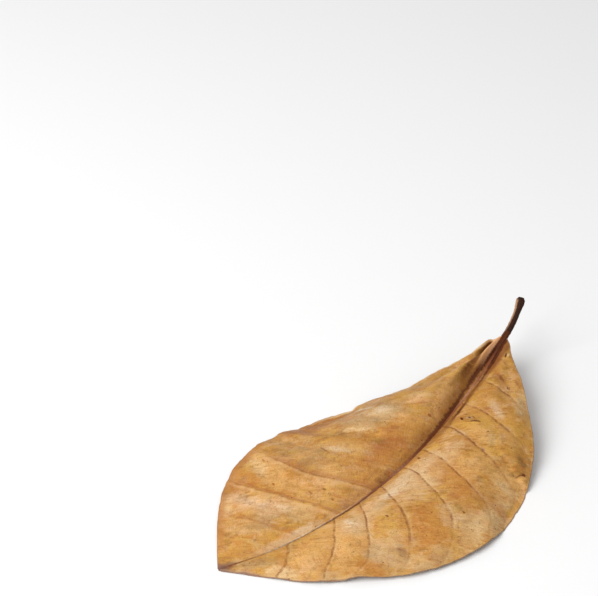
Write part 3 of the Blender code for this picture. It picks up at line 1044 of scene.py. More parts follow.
def noiseMap(tree, vector, scale, detail=2.0, roughness=0.5):
    sockets = {"Vector": vector, "Scale": scale, "Detail": detail, "Roughness": roughness}
    return addNode(tree, "ShaderNodeTexNoise", sockets).outputs["Fac"]


def vectorMath(tree, operation, first, second=(0.0, 0.0, 0.0)):
    return addNode(tree, "ShaderNodeVectorMath", {0: first, 1: second}, operation=operation).outputs


def joined(tree, x, y, z=0.0):
    return addNode(tree, "ShaderNodeCombineXYZ", {"X": x, "Y": y, "Z": z}).outputs["Vector"]


def useGroup(tree, group, sockets, label=""):
    return addNode(tree, "ShaderNodeGroup", sockets, node_tree=group, label=label).outputs


def shifted(tree, vector, offset, scale=(1.0, 1.0, 1.0)):
    sockets = {0: vector, 1: scale, 2: offset}
    return addNode(tree, "ShaderNodeVectorMath", sockets, operation="MULTIPLY_ADD").outputs["Vector"]


# Objects are at the origin, so their own coordinates are the leaf's; here in millimetres
def leafMillimetres(tree):
    sockets = {0: addNode(tree, "ShaderNodeTexCoord").outputs["Object"], "Scale": 1000.0}
    return addNode(tree, "ShaderNodeVectorMath", sockets, operation="SCALE").outputs["Vector"]


# A soft oval: Along and Across are its directions, each divided by its half length
def stainGroup():
    inputs = [("Place", "Vector", None), ("Centre", "Vector", None), ("Along", "Vector", None),
              ("Across", "Vector", None), ("Rag", "Float", 0.0), ("Softness", "Float", 0.6),
              ("Strength", "Float", 1.0)]
    tree, given, result = newGroup("stainMask", "ShaderNodeTree", inputs, [("Mask", "Float")])
    moved = vectorMath(tree, "SUBTRACT", given["Place"], given["Centre"])["Vector"]
    along = vectorMath(tree, "DOT_PRODUCT", moved, given["Along"])["Value"]
    across = vectorMath(tree, "DOT_PRODUCT", moved, given["Across"])["Value"]
    gap = vectorMath(tree, "LENGTH", joined(tree, along, across))["Value"]
    gap = added(tree, gap, given["Rag"])
    inner = less(tree, 1.0, given["Softness"])
    outer = added(tree, 1.0, given["Softness"])
    mask = product(tree, mapped(tree, gap, outer, inner), given["Strength"])
    tree.links.new(mask, result.inputs["Mask"])
    return tree


# Fine ladder of cross veins and the net between them, from the count of side veins
# and the reach along one
def veinNetGroup():
    inputs = [("Count", "Float", 0.0), ("Reach", "Float", 0.0), ("Place", "Vector", None),
              ("Rung", "Float", 1.1), ("Slant", "Float", 0.0)]
    outputs = [("Ladder", "Float"), ("Net", "Float")]
    tree, given, result = newGroup("veinNet", "ShaderNodeTree", inputs, outputs)
    jitter = noiseMap(tree, given["Place"], 0.35, 2.0)
    leaned = product(tree, given["Count"], given["Slant"])
    leaned = added(tree, given["Reach"], leaned)
    along = calculate(tree, "DIVIDE", leaned, given["Rung"])
    along = added(tree, along, product(tree, jitter, 1.6))
    across = product(tree, given["Count"], 2.1)
    cells = addNode(tree, "ShaderNodeTexVoronoi", {
        "Vector": joined(tree, along, across), "Scale": 1.0, "Randomness": 0.85},
        feature="DISTANCE_TO_EDGE", voronoi_dimensions="2D")
    tree.links.new(mapped(tree, cells.outputs["Distance"], 0.20, 0.02), result.inputs["Ladder"])
    small = addNode(tree, "ShaderNodeTexVoronoi", {
        "Vector": given["Place"], "Scale": 1.25, "Randomness": 0.9},
        feature="DISTANCE_TO_EDGE", voronoi_dimensions="3D")
    tree.links.new(mapped(tree, small.outputs["Distance"], 0.14, 0.02), result.inputs["Net"])
    return tree


# Stains on the upper face, with a few painted lights and shadows among them: name, both ends in millimetres
# on the leaf, half width, tone, strength.
# The ends here, and in the blooms and marks below, began as points read off the photograph, some of them
# where the leaf as built differed from it. A program worked out their millimetres and wrote most rows.
leafStainsAndShading = [
    ("boneWide", (11.5, -14.4), (-21.8, -17.5), 6.5, "paleBone", 0.80),
    ("boneInner", (-0.5, -11.6), (-20.7, -11.9), 3.6, "paleBone", 0.55),
    # painted light on the right margin, where the blade lies in shade
    ("blushMargin", (6.3, -45.2), (-20.0, -48.7), 3.8, "cream", 0.80),
    ("honeyRight", (21.5, -40.8), (9.0, -44.6), 3.2, "cream", 0.70),
    ("amberSix", (-26.0, -28.6), (-29.1, -40.7), 4.0, "amber", 0.70),
    ("orangePanel", (4.6, -22.3), (-3.3, -42.0), 4.5, "amber", 0.55),
    ("goldHighRight", (32.6, -12.5), (27.5, -26.1), 4.0, "gold", 0.80),
    ("deepGold", (37.4, -25.8), (30.3, -35.0), 3.6, "deepGold", 0.75),
    ("brownRim", (32.1, -37.1), (28.0, -39.5), 2.0, "rust", 0.55),
    ("goldSplit", (19.6, -35.2), (20.5, -40.4), 2.8, "gold", 0.60),
    ("amberInner", (-15.5, 19.5), (9.9, 7.5), 5.5, "amber", 0.80),
    ("rustInner", (-19.7, 9.2), (1.3, 5.3), 4.5, "rust", 0.50),
    ("goldOuter", (19.3, 20.5), (44.5, 19.6), 4.0, "deepGold", 0.66),
    ("smudgeSoft", (-42.9, 26.0), (-34.9, 24.4), 2.6, "olive", 0.42),
    ("smudgePlum", (-38.4, 28.2), (-34.8, 26.9), 1.8, "plum", 0.45),
    ("creamTip", (-75.0, -7.5), (-66.3, -13.7), 2.6, "honey", 0.85),
    ("pinkEnd", (-72.8, 39.8), (-65.0, 37.6), 2.6, "blush", 0.60),
    ("boneDown", (-42.3, -7.7), (-50.3, -29.4), 3.4, "bone", 0.62),
    ("oliveSpotTop", (57.6, 1.3), (56.0, -4.2), 1.8, "hollow", 0.50),
    ("rustBeside", (58.3, 6.3), (66.3, 6.2), 1.6, "rust", 0.50),
    ("pinkTop", (44.4, -3.5), (43.0, -9.9), 1.8, "blush", 0.55),
    ("oliveGoldTop", (50.7, -6.9), (47.8, -12.8), 1.8, "deepGold", 0.50),
    ("goldBelowScab", (27.0, -6.6), (24.2, -16.9), 3.0, "gold", 0.55),
    ("pinkBand", (-73.3, 30.9), (-61.5, 13.8), 2.0, "blush", 0.40),
    ("greyBandTip", (-76.4, 7.7), (-64.7, 0.8), 2.2, "greyBeige", 0.60),
    ("honeyHigh", (-45.7, 51.1), (-46.6, 32.1), 3.8, "honey", 0.60),
    ("brownEdge", (-58.9, 48.2), (-57.1, 32.2), 3.0, "amber", 0.60),
    ("creamEdge", (-70.5, 40.4), (-70.2, 31.8), 1.9, "blush", 0.80),
    ("pinkBloom", (-66.3, 29.1), (-59.2, 18.7), 3.0, "blush", 0.75),
    ("whiteLower", (-61.0, 16.8), (-52.9, 7.0), 3.8, "bone", 0.60),
    ("oliveMottle", (-72.3, 23.1), (-62.7, 13.7), 1.9, "olive", 0.34),
    ("oliveFaint", (-80.2, 21.9), (-69.6, 14.9), 2.2, "greyBeige", 0.45),
    ("greyHigh", (-41.1, 46.3), (-36.2, 33.0), 2.2, "olive", 0.36),
    ("oliveBand", (-31.4, 37.4), (-32.7, 15.6), 6.8, "greyBeige", 0.50),
    ("oliveAbove", (-18.4, 30.1), (-7.7, 16.1), 2.6, "olive", 0.36),
    ("rustMargin", (-23.9, 49.8), (-19.8, 33.6), 1.9, "rust", 0.30),
    ("orangeLow", (-24.0, 14.0), (-21.3, 1.5), 6.0, "amber", 0.40),
    ("honeyMid", (-52.1, 25.1), (-41.5, 6.7), 5.2, "honey", 0.50),
    ("pinkRib", (-42.0, 2.0), (-28.1, -0.4), 1.5, "crestPink", 0.45),
    ("boneStrip", (-79.1, 8.4), (-54.1, 2.2), 1.6, "blush", 0.62),
    ("greyTip", (-91.8, 11.6), (-77.7, -1.0), 2.6, "greyBeige", 0.70),
    ("plumEdge", (-97.0, 13.0), (-87.1, -0.3), 1.0, "plum", 0.60),
    ("greyOlive", (-72.3, 2.4), (-67.5, -1.0), 1.9, "olive", 0.34),
    ("honeyLow", (-72.0, -5.0), (-58.2, -10.2), 6.8, "honey", 0.70),
    ("peachLow", (-75.4, -10.3), (-68.0, -17.7), 3.0, "blush", 0.40),
    ("boneSix", (-47.8, -6.2), (-46.2, -15.5), 4.5, "paleBone", 0.70),
    ("greyLow", (-48.7, -23.8), (-49.0, -30.9), 4.5, "greyBeige", 0.62),
    ("amberLow", (-56.9, -25.0), (-51.7, -32.4), 2.2, "amber", 0.70),
    ("pinkHigh", (20.7, 18.8), (25.1, 12.7), 2.2, "bone", 0.75),
    ("goldHigh", (26.4, 10.9), (40.1, 8.8), 3.8, "olive", 0.38),
    ("greyBloom", (-8.3, 27.7), (9.8, 17.1), 5.2, "greyBeige", 0.75),
    ("greyCore", (-1.4, 27.0), (0.6, 19.2), 2.2, "plum", 0.35),
    ("ochreBand", (5.8, 13.9), (14.1, 6.6), 3.0, "honey", 0.50),
    ("ochreGold", (2.4, 8.8), (14.4, 3.1), 3.0, "ochre", 0.75),
    ("rustSpot", (-0.7, 13.1), (3.1, 10.7), 1.4, "rust", 0.70),
    ("oliveSpot", (-9.5, 13.8), (-6.0, 9.9), 1.9, "olive", 0.60),
    ("brownBand", (-12.2, 10.5), (4.9, 2.7), 2.6, "rust", 0.30),
    ("amberMid", (-13.4, 4.5), (-2.9, 1.3), 3.8, "amber", 0.60),
    ("pinkSpot", (-14.2, -0.7), (-10.0, -1.4), 1.2, "rust", 0.60),
    ("brickSpot", (-20.4, -0.1), (-17.2, -1.2), 1.2, "brick", 0.60),
    ("plumRib", (-40.9, 0.1), (-28.3, -4.2), 1.2, "plum", 0.50),
    ("boneRib", (-28.8, -9.2), (3.1, -9.5), 3.8, "paleBone", 0.85),
    ("boneRibLow", (-49.8, -10.5), (-31.5, -11.8), 3.8, "paleBone", 0.70),
    ("greenPale", (-31.5, -11.8), (-26.1, -13.5), 2.2, "greyBeige", 0.45),
    ("greyPatch", (26.9, -20.3), (27.0, -24.3), 3.0, "bone", 0.65),
    ("goldMid", (25.1, -9.9), (33.9, -19.5), 2.6, "gold", 0.80),
    ("goldRight", (31.3, -27.5), (30.3, -35.7), 3.8, "ochre", 0.80),
    ("oliveRight", (32.2, -35.8), (31.6, -38.8), 1.7, "olive", 0.70),
    ("greyPlum", (8.6, -31.3), (8.9, -33.4), 1.7, "plum", 0.50),
    ("oliveMid", (16.0, -32.4), (20.8, -37.0), 2.6, "olive", 0.45),
    ("goldBright", (16.3, -37.5), (19.3, -42.1), 3.4, "gold", 0.90),
    ("peachEdge", (24.3, -41.8), (24.4, -44.9), 2.2, "blush", 0.55),
    ("amberPanel", (0.5, -17.5), (3.7, -37.4), 6.0, "amber", 0.75),
    ("bonePanel", (-11.1, -36.5), (-4.2, -46.8), 3.8, "bone", 0.45),
    ("olivePanel", (-10.4, -34.2), (-8.1, -37.7), 1.7, "olive", 0.30),
    ("brownPanel", (7.1, -43.3), (8.3, -48.2), 2.6, "rust", 0.34),
    ("amberPanelLow", (-24.0, -25.7), (-22.3, -42.2), 6.0, "amber", 0.85),
    ("plumBone", (-45.5, -27.5), (-42.5, -37.2), 4.5, "bone", 0.70),
    ("plumFive", (-39.7, -31.5), (-40.6, -35.8), 1.7, "plum", 0.60),
    ("tanFive", (-41.3, -37.6), (-34.9, -43.4), 3.0, "cream", 0.40),
    ("orangeBottom", (-55.7, -29.5), (-51.5, -35.6), 1.9, "amber", 0.80),
    ("boneHigh", (20.1, -8.6), (21.7, -15.6), 1.9, "bone", 0.35),
    ("ochreTop", (50.1, 4.0), (46.1, -7.3), 3.8, "ochre", 0.50),
    ("rustTop", (59.6, 2.4), (56.6, -6.0), 2.2, "rust", 0.42),
    ("oliveTop", (54.0, -5.3), (51.2, -10.6), 1.9, "olive", 0.40),
    ("tanTop", (59.2, -8.0), (54.3, -18.1), 3.0, "honey", 0.40),
    ("honeySplit", (21.6, -37.7), (13.0, -40.5), 5.0, "honey", 0.90),
    ("tanEdge", (57.8, -15.8), (50.0, -21.0), 3.2, "bone", 0.60),
    ("goldEdge", (39.3, -25.9), (32.1, -31.0), 3.2, "gold", 0.85),
    ("honeyFive", (18.7, -24.1), (15.1, -30.8), 5.0, "honey", 0.75),
    ("honeySeven", (-53.6, -14.3), (-63.8, -19.9), 5.0, "honey", 0.85),
    ("honeySix", (-50.1, -4.4), (-57.7, -7.4), 4.5, "honey", 0.80),
    ("boneFold", (-68.1, 20.2), (-66.1, 16.2), 4.0, "bone", 0.60),
    ("honeyFold", (-49.5, 36.6), (-50.5, 26.7), 4.0, "honey", 0.80),
    ("creamFold", (-49.0, 46.1), (-51.7, 38.0), 3.0, "cream", 0.65),
    # brown along the far left margin, partly painted shadow
    ("brownFold", (-65.9, 40.5), (-58.1, 42.6), 2.2, "marginBrownShadow", 0.60),
    ("boneEdge", (-34.1, -43.8), (-26.7, -45.8), 3.5, "bone", 0.60),
    ("blushSix", (-40.4, -5.3), (-31.8, -8.6), 2.2, "blush", 0.70),
    ("boneFour", (-13.7, -32.6), (-15.4, -41.0), 3.5, "paleBone", 0.65),
    ("creamSeven", (-84.5, -1.1), (-80.5, -6.3), 2.5, "cream", 0.75),
    # brown along the far left margin, partly painted shadow
    ("brownRidge", (-19.6, 48.1), (0.5, 42.7), 3.2, "marginBrownShadow", 0.75),
    ("boneGreyWide", (-6.3, 28.4), (11.0, 18.2), 5.0, "bone", 0.50),
    ("deepGoldHigh", (12.4, 12.4), (18.9, 8.8), 3.0, "deepGold", 0.60),
    ("ochreScab", (44.1, -4.4), (41.8, -12.0), 3.0, "ochre", 0.60),
    ("honeyLowSeven", (-55.8, -18.2), (-48.4, -20.0), 3.5, "honey", 0.75),
    ("blushTipHigh", (-70.2, 29.2), (-65.0, 26.1), 2.5, "blush", 0.80),
    ("blushTipLow", (-66.4, 20.2), (-60.4, 18.1), 3.0, "blush", 0.60),
    ("honeyTwo", (-38.1, 16.2), (-31.9, 14.0), 3.5, "honey", 0.75),
    ("tanFour", (-18.8, -47.6), (-11.6, -47.8), 3.0, "tan", 0.60),
    ("honeyFour", (10.0, -22.6), (7.8, -30.3), 4.0, "honey", 0.70),
    ("boneLowFour", (-5.7, -51.6), (4.7, -49.6), 3.0, "bone", 0.65),
    ("tanThree", (6.8, -34.7), (8.6, -40.2), 3.5, "tan", 0.75),
    ("honeyRim", (17.0, -43.6), (25.0, -41.3), 3.0, "honey", 0.70),
    ("honeySplitEnd", (12.9, -39.3), (22.6, -38.6), 4.0, "honey", 0.80),
    # brown along the far left margin, partly painted shadow
    ("brownRidgeTwo", (-9.3, 41.6), (5.3, 40.2), 2.2, "marginBrownShadow", 0.60),
    ("paleTip", (-92.9, 7.9), (-89.0, 2.5), 2.0, "paleBone", 0.40),
    ("goldSlope", (40.4, 11.0), (20.1, 4.2), 2.6, "honey", 0.80),
    ("creamRimFive", (16.3, -38.1), (19.6, -42.5), 2.5, "cream", 0.70),
    ("creamLowTip", (-82.6, -5.0), (-77.9, -10.6), 2.5, "cream", 0.70),
    ("honeyRightTop", (58.1, -14.9), (48.3, -20.6), 2.5, "cream", 0.50),
    ("honeyRightMid", (36.9, -24.4), (33.1, -30.0), 3.0, "honey", 0.60),
    ("creamTipEdge", (-71.4, 42.0), (-74.9, 35.4), 2.0, "cream", 0.65),
    ("honeyPanelTwo", (23.3, -14.3), (25.8, -20.1), 3.5, "honey", 0.65),
    ("boneLowEdge", (-41.4, -42.9), (-36.0, -45.6), 2.5, "bone", 0.65),
    ("honeyFoldLow", (-36.5, 32.7), (-30.4, 29.0), 2.5, "honey", 0.60),
    ("honeyTopThree", (52.6, -10.1), (50.4, -16.5), 2.5, "honey", 0.55),
    ("honeyLowFive", (-40.1, -26.8), (-37.4, -31.0), 2.5, "cream", 0.45),
    ("boneLowSix", (-71.0, -19.7), (-66.1, -23.9), 2.5, "bone", 0.60),
    ("creamRibTip", (-54.5, 4.2), (-51.5, -5.8), 2.0, "cream", 0.45),
    # brown along the far left margin, partly painted shadow
    ("brownHigh", (-30.6, 50.9), (-6.7, 39.4), 4.6, "marginBrownShadow", 0.90),
    ("tanDot", (-19.9, 23.6), (-18.4, 20.2), 3.0, "ochre", 0.70),
    ("tanLowFive", (-47.4, -32.2), (-45.6, -35.0), 2.2, "tan", 0.50),
    ("honeyNearRib", (-26.4, 0.1), (-21.2, 0.4), 1.6, "honey", 0.60),
    ("tanRimHigh", (25.4, 28.9), (32.2, 27.7), 2.6, "ochre", 0.80),
    ("rustRib", (72.0, 9.0), (58.0, 4.5), 2.0, "rust", 0.55),
    ("tipShade", (-98.0, 14.4), (-92.0, 12.6), 1.6, "plum", 0.70),
]

# Whitish patches: the dry skin's real bloom, partly painted sheen where it shines
bloomAndSheen = [
    ("bloomGreyWide", (6.0, 40.2), (12.0, 16.8), 4.5, "greyBeige", 0.70),
    ("bloomPaleBand", (-11.3, 27.2), (-1.7, 15.8), 2.0, "bone", 0.75),
    ("bloomPaleWide", (-4.6, 28.8), (9.2, 18.4), 4.5, "bone", 0.50),
    ("bloomWhite", (5.5, 31.5), (5.9, 28.5), 1.4, "bloom", 0.60),
    ("bloomAcross", (2.2, 25.6), (8.3, 20.6), 2.3, "bloom", 0.55),
    ("bloomLine", (-12.2, 26.3), (-6.0, 18.6), 1.0, "cream", 0.70),
    ("bloomPinkHigh", (18.9, 16.2), (23.1, 13.1), 2.2, "blush", 0.60),
    ("bloomLowWide", (-24.7, 28.1), (-13.3, 12.3), 2.6, "bone", 0.28),
    ("bloomCrescent", (-24.8, 25.6), (-20.2, 16.6), 1.0, "bloom", 0.55),
    ("bloomBlushA", (-68.1, 36.0), (-65.6, 28.0), 2.2, "bloom", 0.45),
    ("bloomBlushB", (-67.5, 25.3), (-62.9, 22.1), 1.6, "bloom", 0.38),
    ("bloomBlushC", (-60.4, 19.9), (-58.0, 13.9), 2.0, "bloom", 0.35),
    ("bloomRibStrip", (-65.2, 5.1), (-54.9, 2.5), 1.3, "bloom", 0.50),
    ("bloomNearRib", (-25.9, -9.8), (-20.3, -11.5), 2.0, "bloom", 0.55),
    ("bloomDot", (-45.4, -6.7), (-46.7, -9.7), 1.2, "bloom", 0.60),
    ("bloomRib", (-25.9, -10.4), (-1.2, -10.5), 3.0, "bloom", 0.28),
    ("bloomRight", (43.0, -10.4), (39.9, -17.7), 2.0, "bloom", 0.40),
    ("bloomScab", (20.0, -7.0), (20.5, -12.2), 1.5, "bloom", 0.25),
    ("bloomSix", (-47.6, -7.7), (-44.4, -12.7), 1.8, "bloom", 0.30),
    ("bloomFive", (-50.6, -26.8), (-46.6, -34.2), 3.0, "bloom", 0.25),
    ("bloomPanel", (-12.5, -38.3), (-6.1, -43.9), 2.2, "bloom", 0.25),
    ("bloomGold", (31.5, -24.4), (31.7, -26.6), 1.5, "bloom", 0.25),
    ("bloomTopSpot", (5.7, 36.8), (5.6, 32.5), 1.3, "bloom", 0.85),
    ("bloomTail", (-24.4, 23.9), (-15.0, 11.4), 1.6, "bone", 0.60),
]

# Small marks: the scab beside the midrib, dots, rings, the split by the margin, the dark tip
leafMarks = [
    ("scabNet", (29.2, -6.0), (29.8, -10.2), 1.5, "crestBrown", 0.34),
    ("scabHead", (28.4, -4.6), (27.8, -6.2), 0.6, "umber", 1.00),
    ("scabPale", (29.5, -6.7), (30.0, -9.6), 1.0, "bone", 0.60),
    ("scabRim", (27.1, -7.1), (27.8, -10.4), 0.3, "umber", 0.50),
    ("scabTop", (31.1, -4.2), (32.2, -6.0), 0.3, "umber", 0.55),
    ("scabDot", (30.2, -7.5), (29.7, -8.8), 0.4, "umber", 0.85),
    ("scabLine", (28.1, -10.1), (30.9, -14.0), 0.4, "umber", 0.85),
    ("scabSide", (31.7, -8.2), (30.6, -10.8), 0.3, "brick", 0.60),
    ("splitDark", (25.0, -39.4), (29.3, -41.5), 0.25, "umber", 0.60),
    ("splitEnd", (28.2, -40.7), (29.2, -41.6), 0.5, "umber", 0.80),
    ("splitPale", (22.8, -39.5), (28.9, -42.5), 0.5, "honey", 0.60),
    ("splitShade", (23.5, -37.6), (29.0, -40.0), 1.0, "olive", 0.45),
    ("flakeDark", (69.3, 4.4), (71.5, 5.6), 0.4, "umber", 0.95),
    ("flakePale", (70.4, 3.8), (72.2, 4.7), 0.5, "cream", 0.90),
    ("ringOne", (56.2, -7.5), (55.5, -9.1), 0.4, "brick", 0.70),
    ("ringTwo", (56.9, -8.5), (55.7, -9.7), 0.3, "umber", 0.50),
    ("dashOne", (52.6, -10.1), (53.4, -12.3), 0.3, "umber", 0.75),
    ("dotOne", (20.2, -18.8), (20.2, -19.5), 0.5, "umber", 0.80),
    ("dotTwo", (20.6, -23.6), (20.7, -24.6), 0.6, "plum", 0.75),
    ("dotThree", (-8.5, -38.6), (-8.2, -39.2), 0.5, "brick", 0.80),
    ("dotFour", (1.1, -4.5), (0.4, -6.2), 0.5, "umber", 0.70),
    ("dotFive", (-33.8, -18.5), (-33.8, -19.6), 0.5, "brick", 0.80),
    ("dotSix", (-53.6, 29.3), (-54.0, 28.0), 0.5, "rust", 0.80),
    ("dotSeven", (-40.9, 11.5), (-40.6, 10.3), 0.5, "olive", 0.80),
    ("dotEight", (-46.2, 14.6), (-45.8, 13.2), 0.5, "rust", 0.70),
    ("dotNine", (-41.7, 5.6), (-41.3, 4.8), 0.4, "rust", 0.80),
    ("dotTen", (-46.5, 43.4), (-46.9, 41.7), 0.4, "rust", 0.70),
    ("dotEleven", (18.8, 6.1), (19.8, 5.1), 0.5, "rust", 0.80),
    ("streakDark", (-26.1, 28.4), (-26.2, 22.8), 0.4, "brick", 0.45),
    ("creamDot", (-45.9, -9.0), (-45.2, -10.6), 0.4, "bloom", 0.95),
    ("smudgeTop", (58.0, -1.9), (57.4, -4.2), 0.8, "umber", 0.50),
    ("flakeSpot", (61.6, -7.8), (60.7, -10.3), 0.7, "rust", 0.50),
    ("tipPoint", (-98.2, 14.6), (-95.0, 13.4), 0.9, "umber", 0.92),
]


# Small soft patches all over: shift of the pattern, tone, where it starts and is full, strength
mottles = [
    ((7.0, 3.0, 0.0), "blush", 0.52, 0.66, 0.44),
    ((31.0, 17.0, 0.0), "gold", 0.50, 0.64, 0.60),
    ((53.0, 71.0, 0.0), "amber", 0.52, 0.66, 0.62),
    ((12.0, 83.0, 0.0), "bone", 0.55, 0.68, 0.40),
    ((90.0, 12.0, 0.0), "rust", 0.55, 0.70, 0.42),
    ((64.0, 48.0, 0.0), "olive", 0.56, 0.68, 0.34),
]


def addStains(tree, group, place, rag, softness, stains, color):
    for title, start, end, width, paint, strength in stains:
        centre = ((start[0] + end[0]) / 2, (start[1] + end[1]) / 2, 0.0)
        length = math.dist(start, end) / 2 + width * 0.5
        turn = math.atan2(end[1] - start[1], end[0] - start[0])
        along = (math.cos(turn) / length, math.sin(turn) / length, 0.0)
        across = (-math.sin(turn) / width, math.cos(turn) / width, 0.0)
        spot = useGroup(tree, group, {
            "Place": place, "Centre": centre, "Along": along, "Across": across,
            "Rag": rag, "Softness": softness, "Strength": strength}, title)
        color = mixColor(tree, spot["Mask"], color, tone(paint))
    return color


# Strengths of the patterns that cover the whole blade; a pair is a darkest and a lightest factor
skinTones = {
    "streakAngle": 44.0,  # degrees from the midrib
    "gold": 0.55,
    "amber": 0.60,
    "bone": 0.50,
    "mottleOver": 0.40,  # the mottles once more, over the stains
    "darkStreak": 0.22,
    "lightStreak": 0.16,
    "smudge": 0.40,
    "wiggle": 0.36,
    "freckle": 0.50,
    "grain": (0.86, 1.11),
    "fineStreak": (0.94, 1.055),
    "tint": (0.965, 0.925, 0.83, 1.0),
    "underCover": 0.72,
}


# Colour of the dried blade: mottled and stained on its upper face, with painted sheen and some painted light
# and shadow; paler and plainer below
def bladeToneGroup():
    outputs = [("Upper Color", "Color"), ("Under Color", "Color"), ("Grain", "Float"), ("Streak", "Float")]
    tree, given, result = newGroup("bladeTone", "ShaderNodeTree", [("Place", "Vector", None)], outputs)
    place = given["Place"]
    level = addNode(tree, "ShaderNodeVectorRotate", {
        "Vector": place, "Angle": math.radians(skinTones["streakAngle"])}, rotation_type="Z_AXIS")
    level = level.outputs["Vector"]
    broad = mapped(tree, noiseMap(tree, place, 0.035, 2.0), 0.38, 0.62)
    second = noiseMap(tree, shifted(tree, place, (40.0, 90.0, 0.0)), 0.07, 3.0, 0.6)
    second = mapped(tree, second, 0.42, 0.62)
    patchy = mapped(tree, noiseMap(tree, place, 0.15, 4.0, 0.62), 0.50, 0.66)
    pale = mapped(tree, noiseMap(tree, shifted(tree, place, (15.0, 33.0, 7.0)), 0.17, 5.0, 0.66), 0.52, 0.70)
    grain = noiseMap(tree, place, 1.5, 4.0, 0.70)
    blotch = noiseMap(tree, shifted(tree, place, (5.0, 61.0, 3.0)), 0.42, 5.0, 0.72)
    streak = noiseMap(tree, shifted(tree, level, (0.0, 0.0, 0.0), (0.16, 1.0, 0.3)), 0.85, 4.0, 0.68)
    fineStreak = noiseMap(tree, shifted(tree, level, (3.0, 9.0, 0.0), (0.20, 1.9, 0.3)), 1.0, 2.0, 0.6)

    base = mixColor(tree, broad, tone("tan"), tone("ochre"))
    for mask, paint in ((second, "gold"), (patchy, "amber"), (pale, "bone")):
        base = mixColor(tree, product(tree, mask, skinTones[paint]), base, tone(paint))
    masks = []
    for shift, paint, low, high, amount in mottles:
        spots = noiseMap(tree, shifted(tree, level, shift, (0.62, 1.1, 0.8)), 0.20, 4.0, 0.60)
        masks.append((product(tree, mapped(tree, spots, low, high), amount), paint))
        base = mixColor(tree, masks[-1][0], base, tone(paint))

    # ragged edges: the stains' distances get patchy, and their places sway
    ragged = swing(tree, noiseMap(tree, place, 0.17, 5.0, 0.64), 2.0)
    ragged = added(tree, ragged, swing(tree, streak, 1.3))
    slight = swing(tree, noiseMap(tree, place, 1.3, 3.0, 0.6), 1.5)
    stain = stainGroup()
    sway = joined(tree, product(tree, ragged, 0.3), product(tree, ragged, -0.3))
    bent = vectorMath(tree, "ADD", place, sway)["Vector"]
    # stains, with a few painted lights and shadows among them
    stained = addStains(tree, stain, bent, ragged, 0.50, leafStainsAndShading, base)
    torn = noiseMap(tree, shifted(tree, level, (9.0, 4.0, 2.0), (0.22, 0.62, 0.3)), 1.0, 5.0, 0.68)
    torn = product(tree, less(tree, torn, 0.47), 3.2)
    # whitish bloom, partly painted sheen
    stained = addStains(tree, stain, bent, torn, 0.75, bloomAndSheen, stained)

    for mask, paint in masks:
        stained = mixColor(tree, product(tree, mask, skinTones["mottleOver"]), stained, tone(paint))
    for pattern, low, high, strength, paint in ((streak, 0.50, 0.70, "darkStreak", "rust"),
                                                (streak, 0.46, 0.30, "lightStreak", "cream"),
                                                (blotch, 0.54, 0.68, "smudge", "olive")):
        mask = product(tree, mapped(tree, pattern, low, high), skinTones[strength])
        stained = mixColor(tree, mask, stained, tone(paint))
    wiggle = noiseMap(tree, shifted(tree, place, (21.0, 5.0, 8.0)), 0.42, 4.0, 0.6)
    wiggle = mapped(tree, calculate(tree, "ABSOLUTE", less(tree, wiggle, 0.5)), 0.020, 0.004)
    wiggle = product(tree, wiggle, mapped(tree, blotch, 0.44, 0.60), skinTones["wiggle"])
    stained = mixColor(tree, wiggle, stained, tone("vein"))
    freckle = mapped(tree, noiseMap(tree, place, 0.9, 2.0, 0.7), 0.66, 0.74)
    stained = mixColor(tree, product(tree, freckle, skinTones["freckle"]), stained, tone("brick"))
    stained = addStains(tree, stain, bent, slight, 0.35, leafMarks, stained)
    shade = mapped(tree, grain, 0.22, 0.78, *skinTones["grain"])
    lines = mapped(tree, fineStreak, 0.30, 0.70, *skinTones["fineStreak"])
    for factor in (shade, lines, skinTones["tint"]):
        stained = mixColor(tree, 1.0, stained, factor, "MULTIPLY")

    under = mixColor(tree, patchy, tone("underTan"), tone("underGrey"))
    under = mixColor(tree, skinTones["underCover"], stained, under)
    tree.links.new(stained, result.inputs["Upper Color"])
    tree.links.new(mixColor(tree, 1.0, under, shade, "MULTIPLY"), result.inputs["Under Color"])
    tree.links.new(grain, result.inputs["Grain"])
    tree.links.new(streak, result.inputs["Streak"])
    return tree
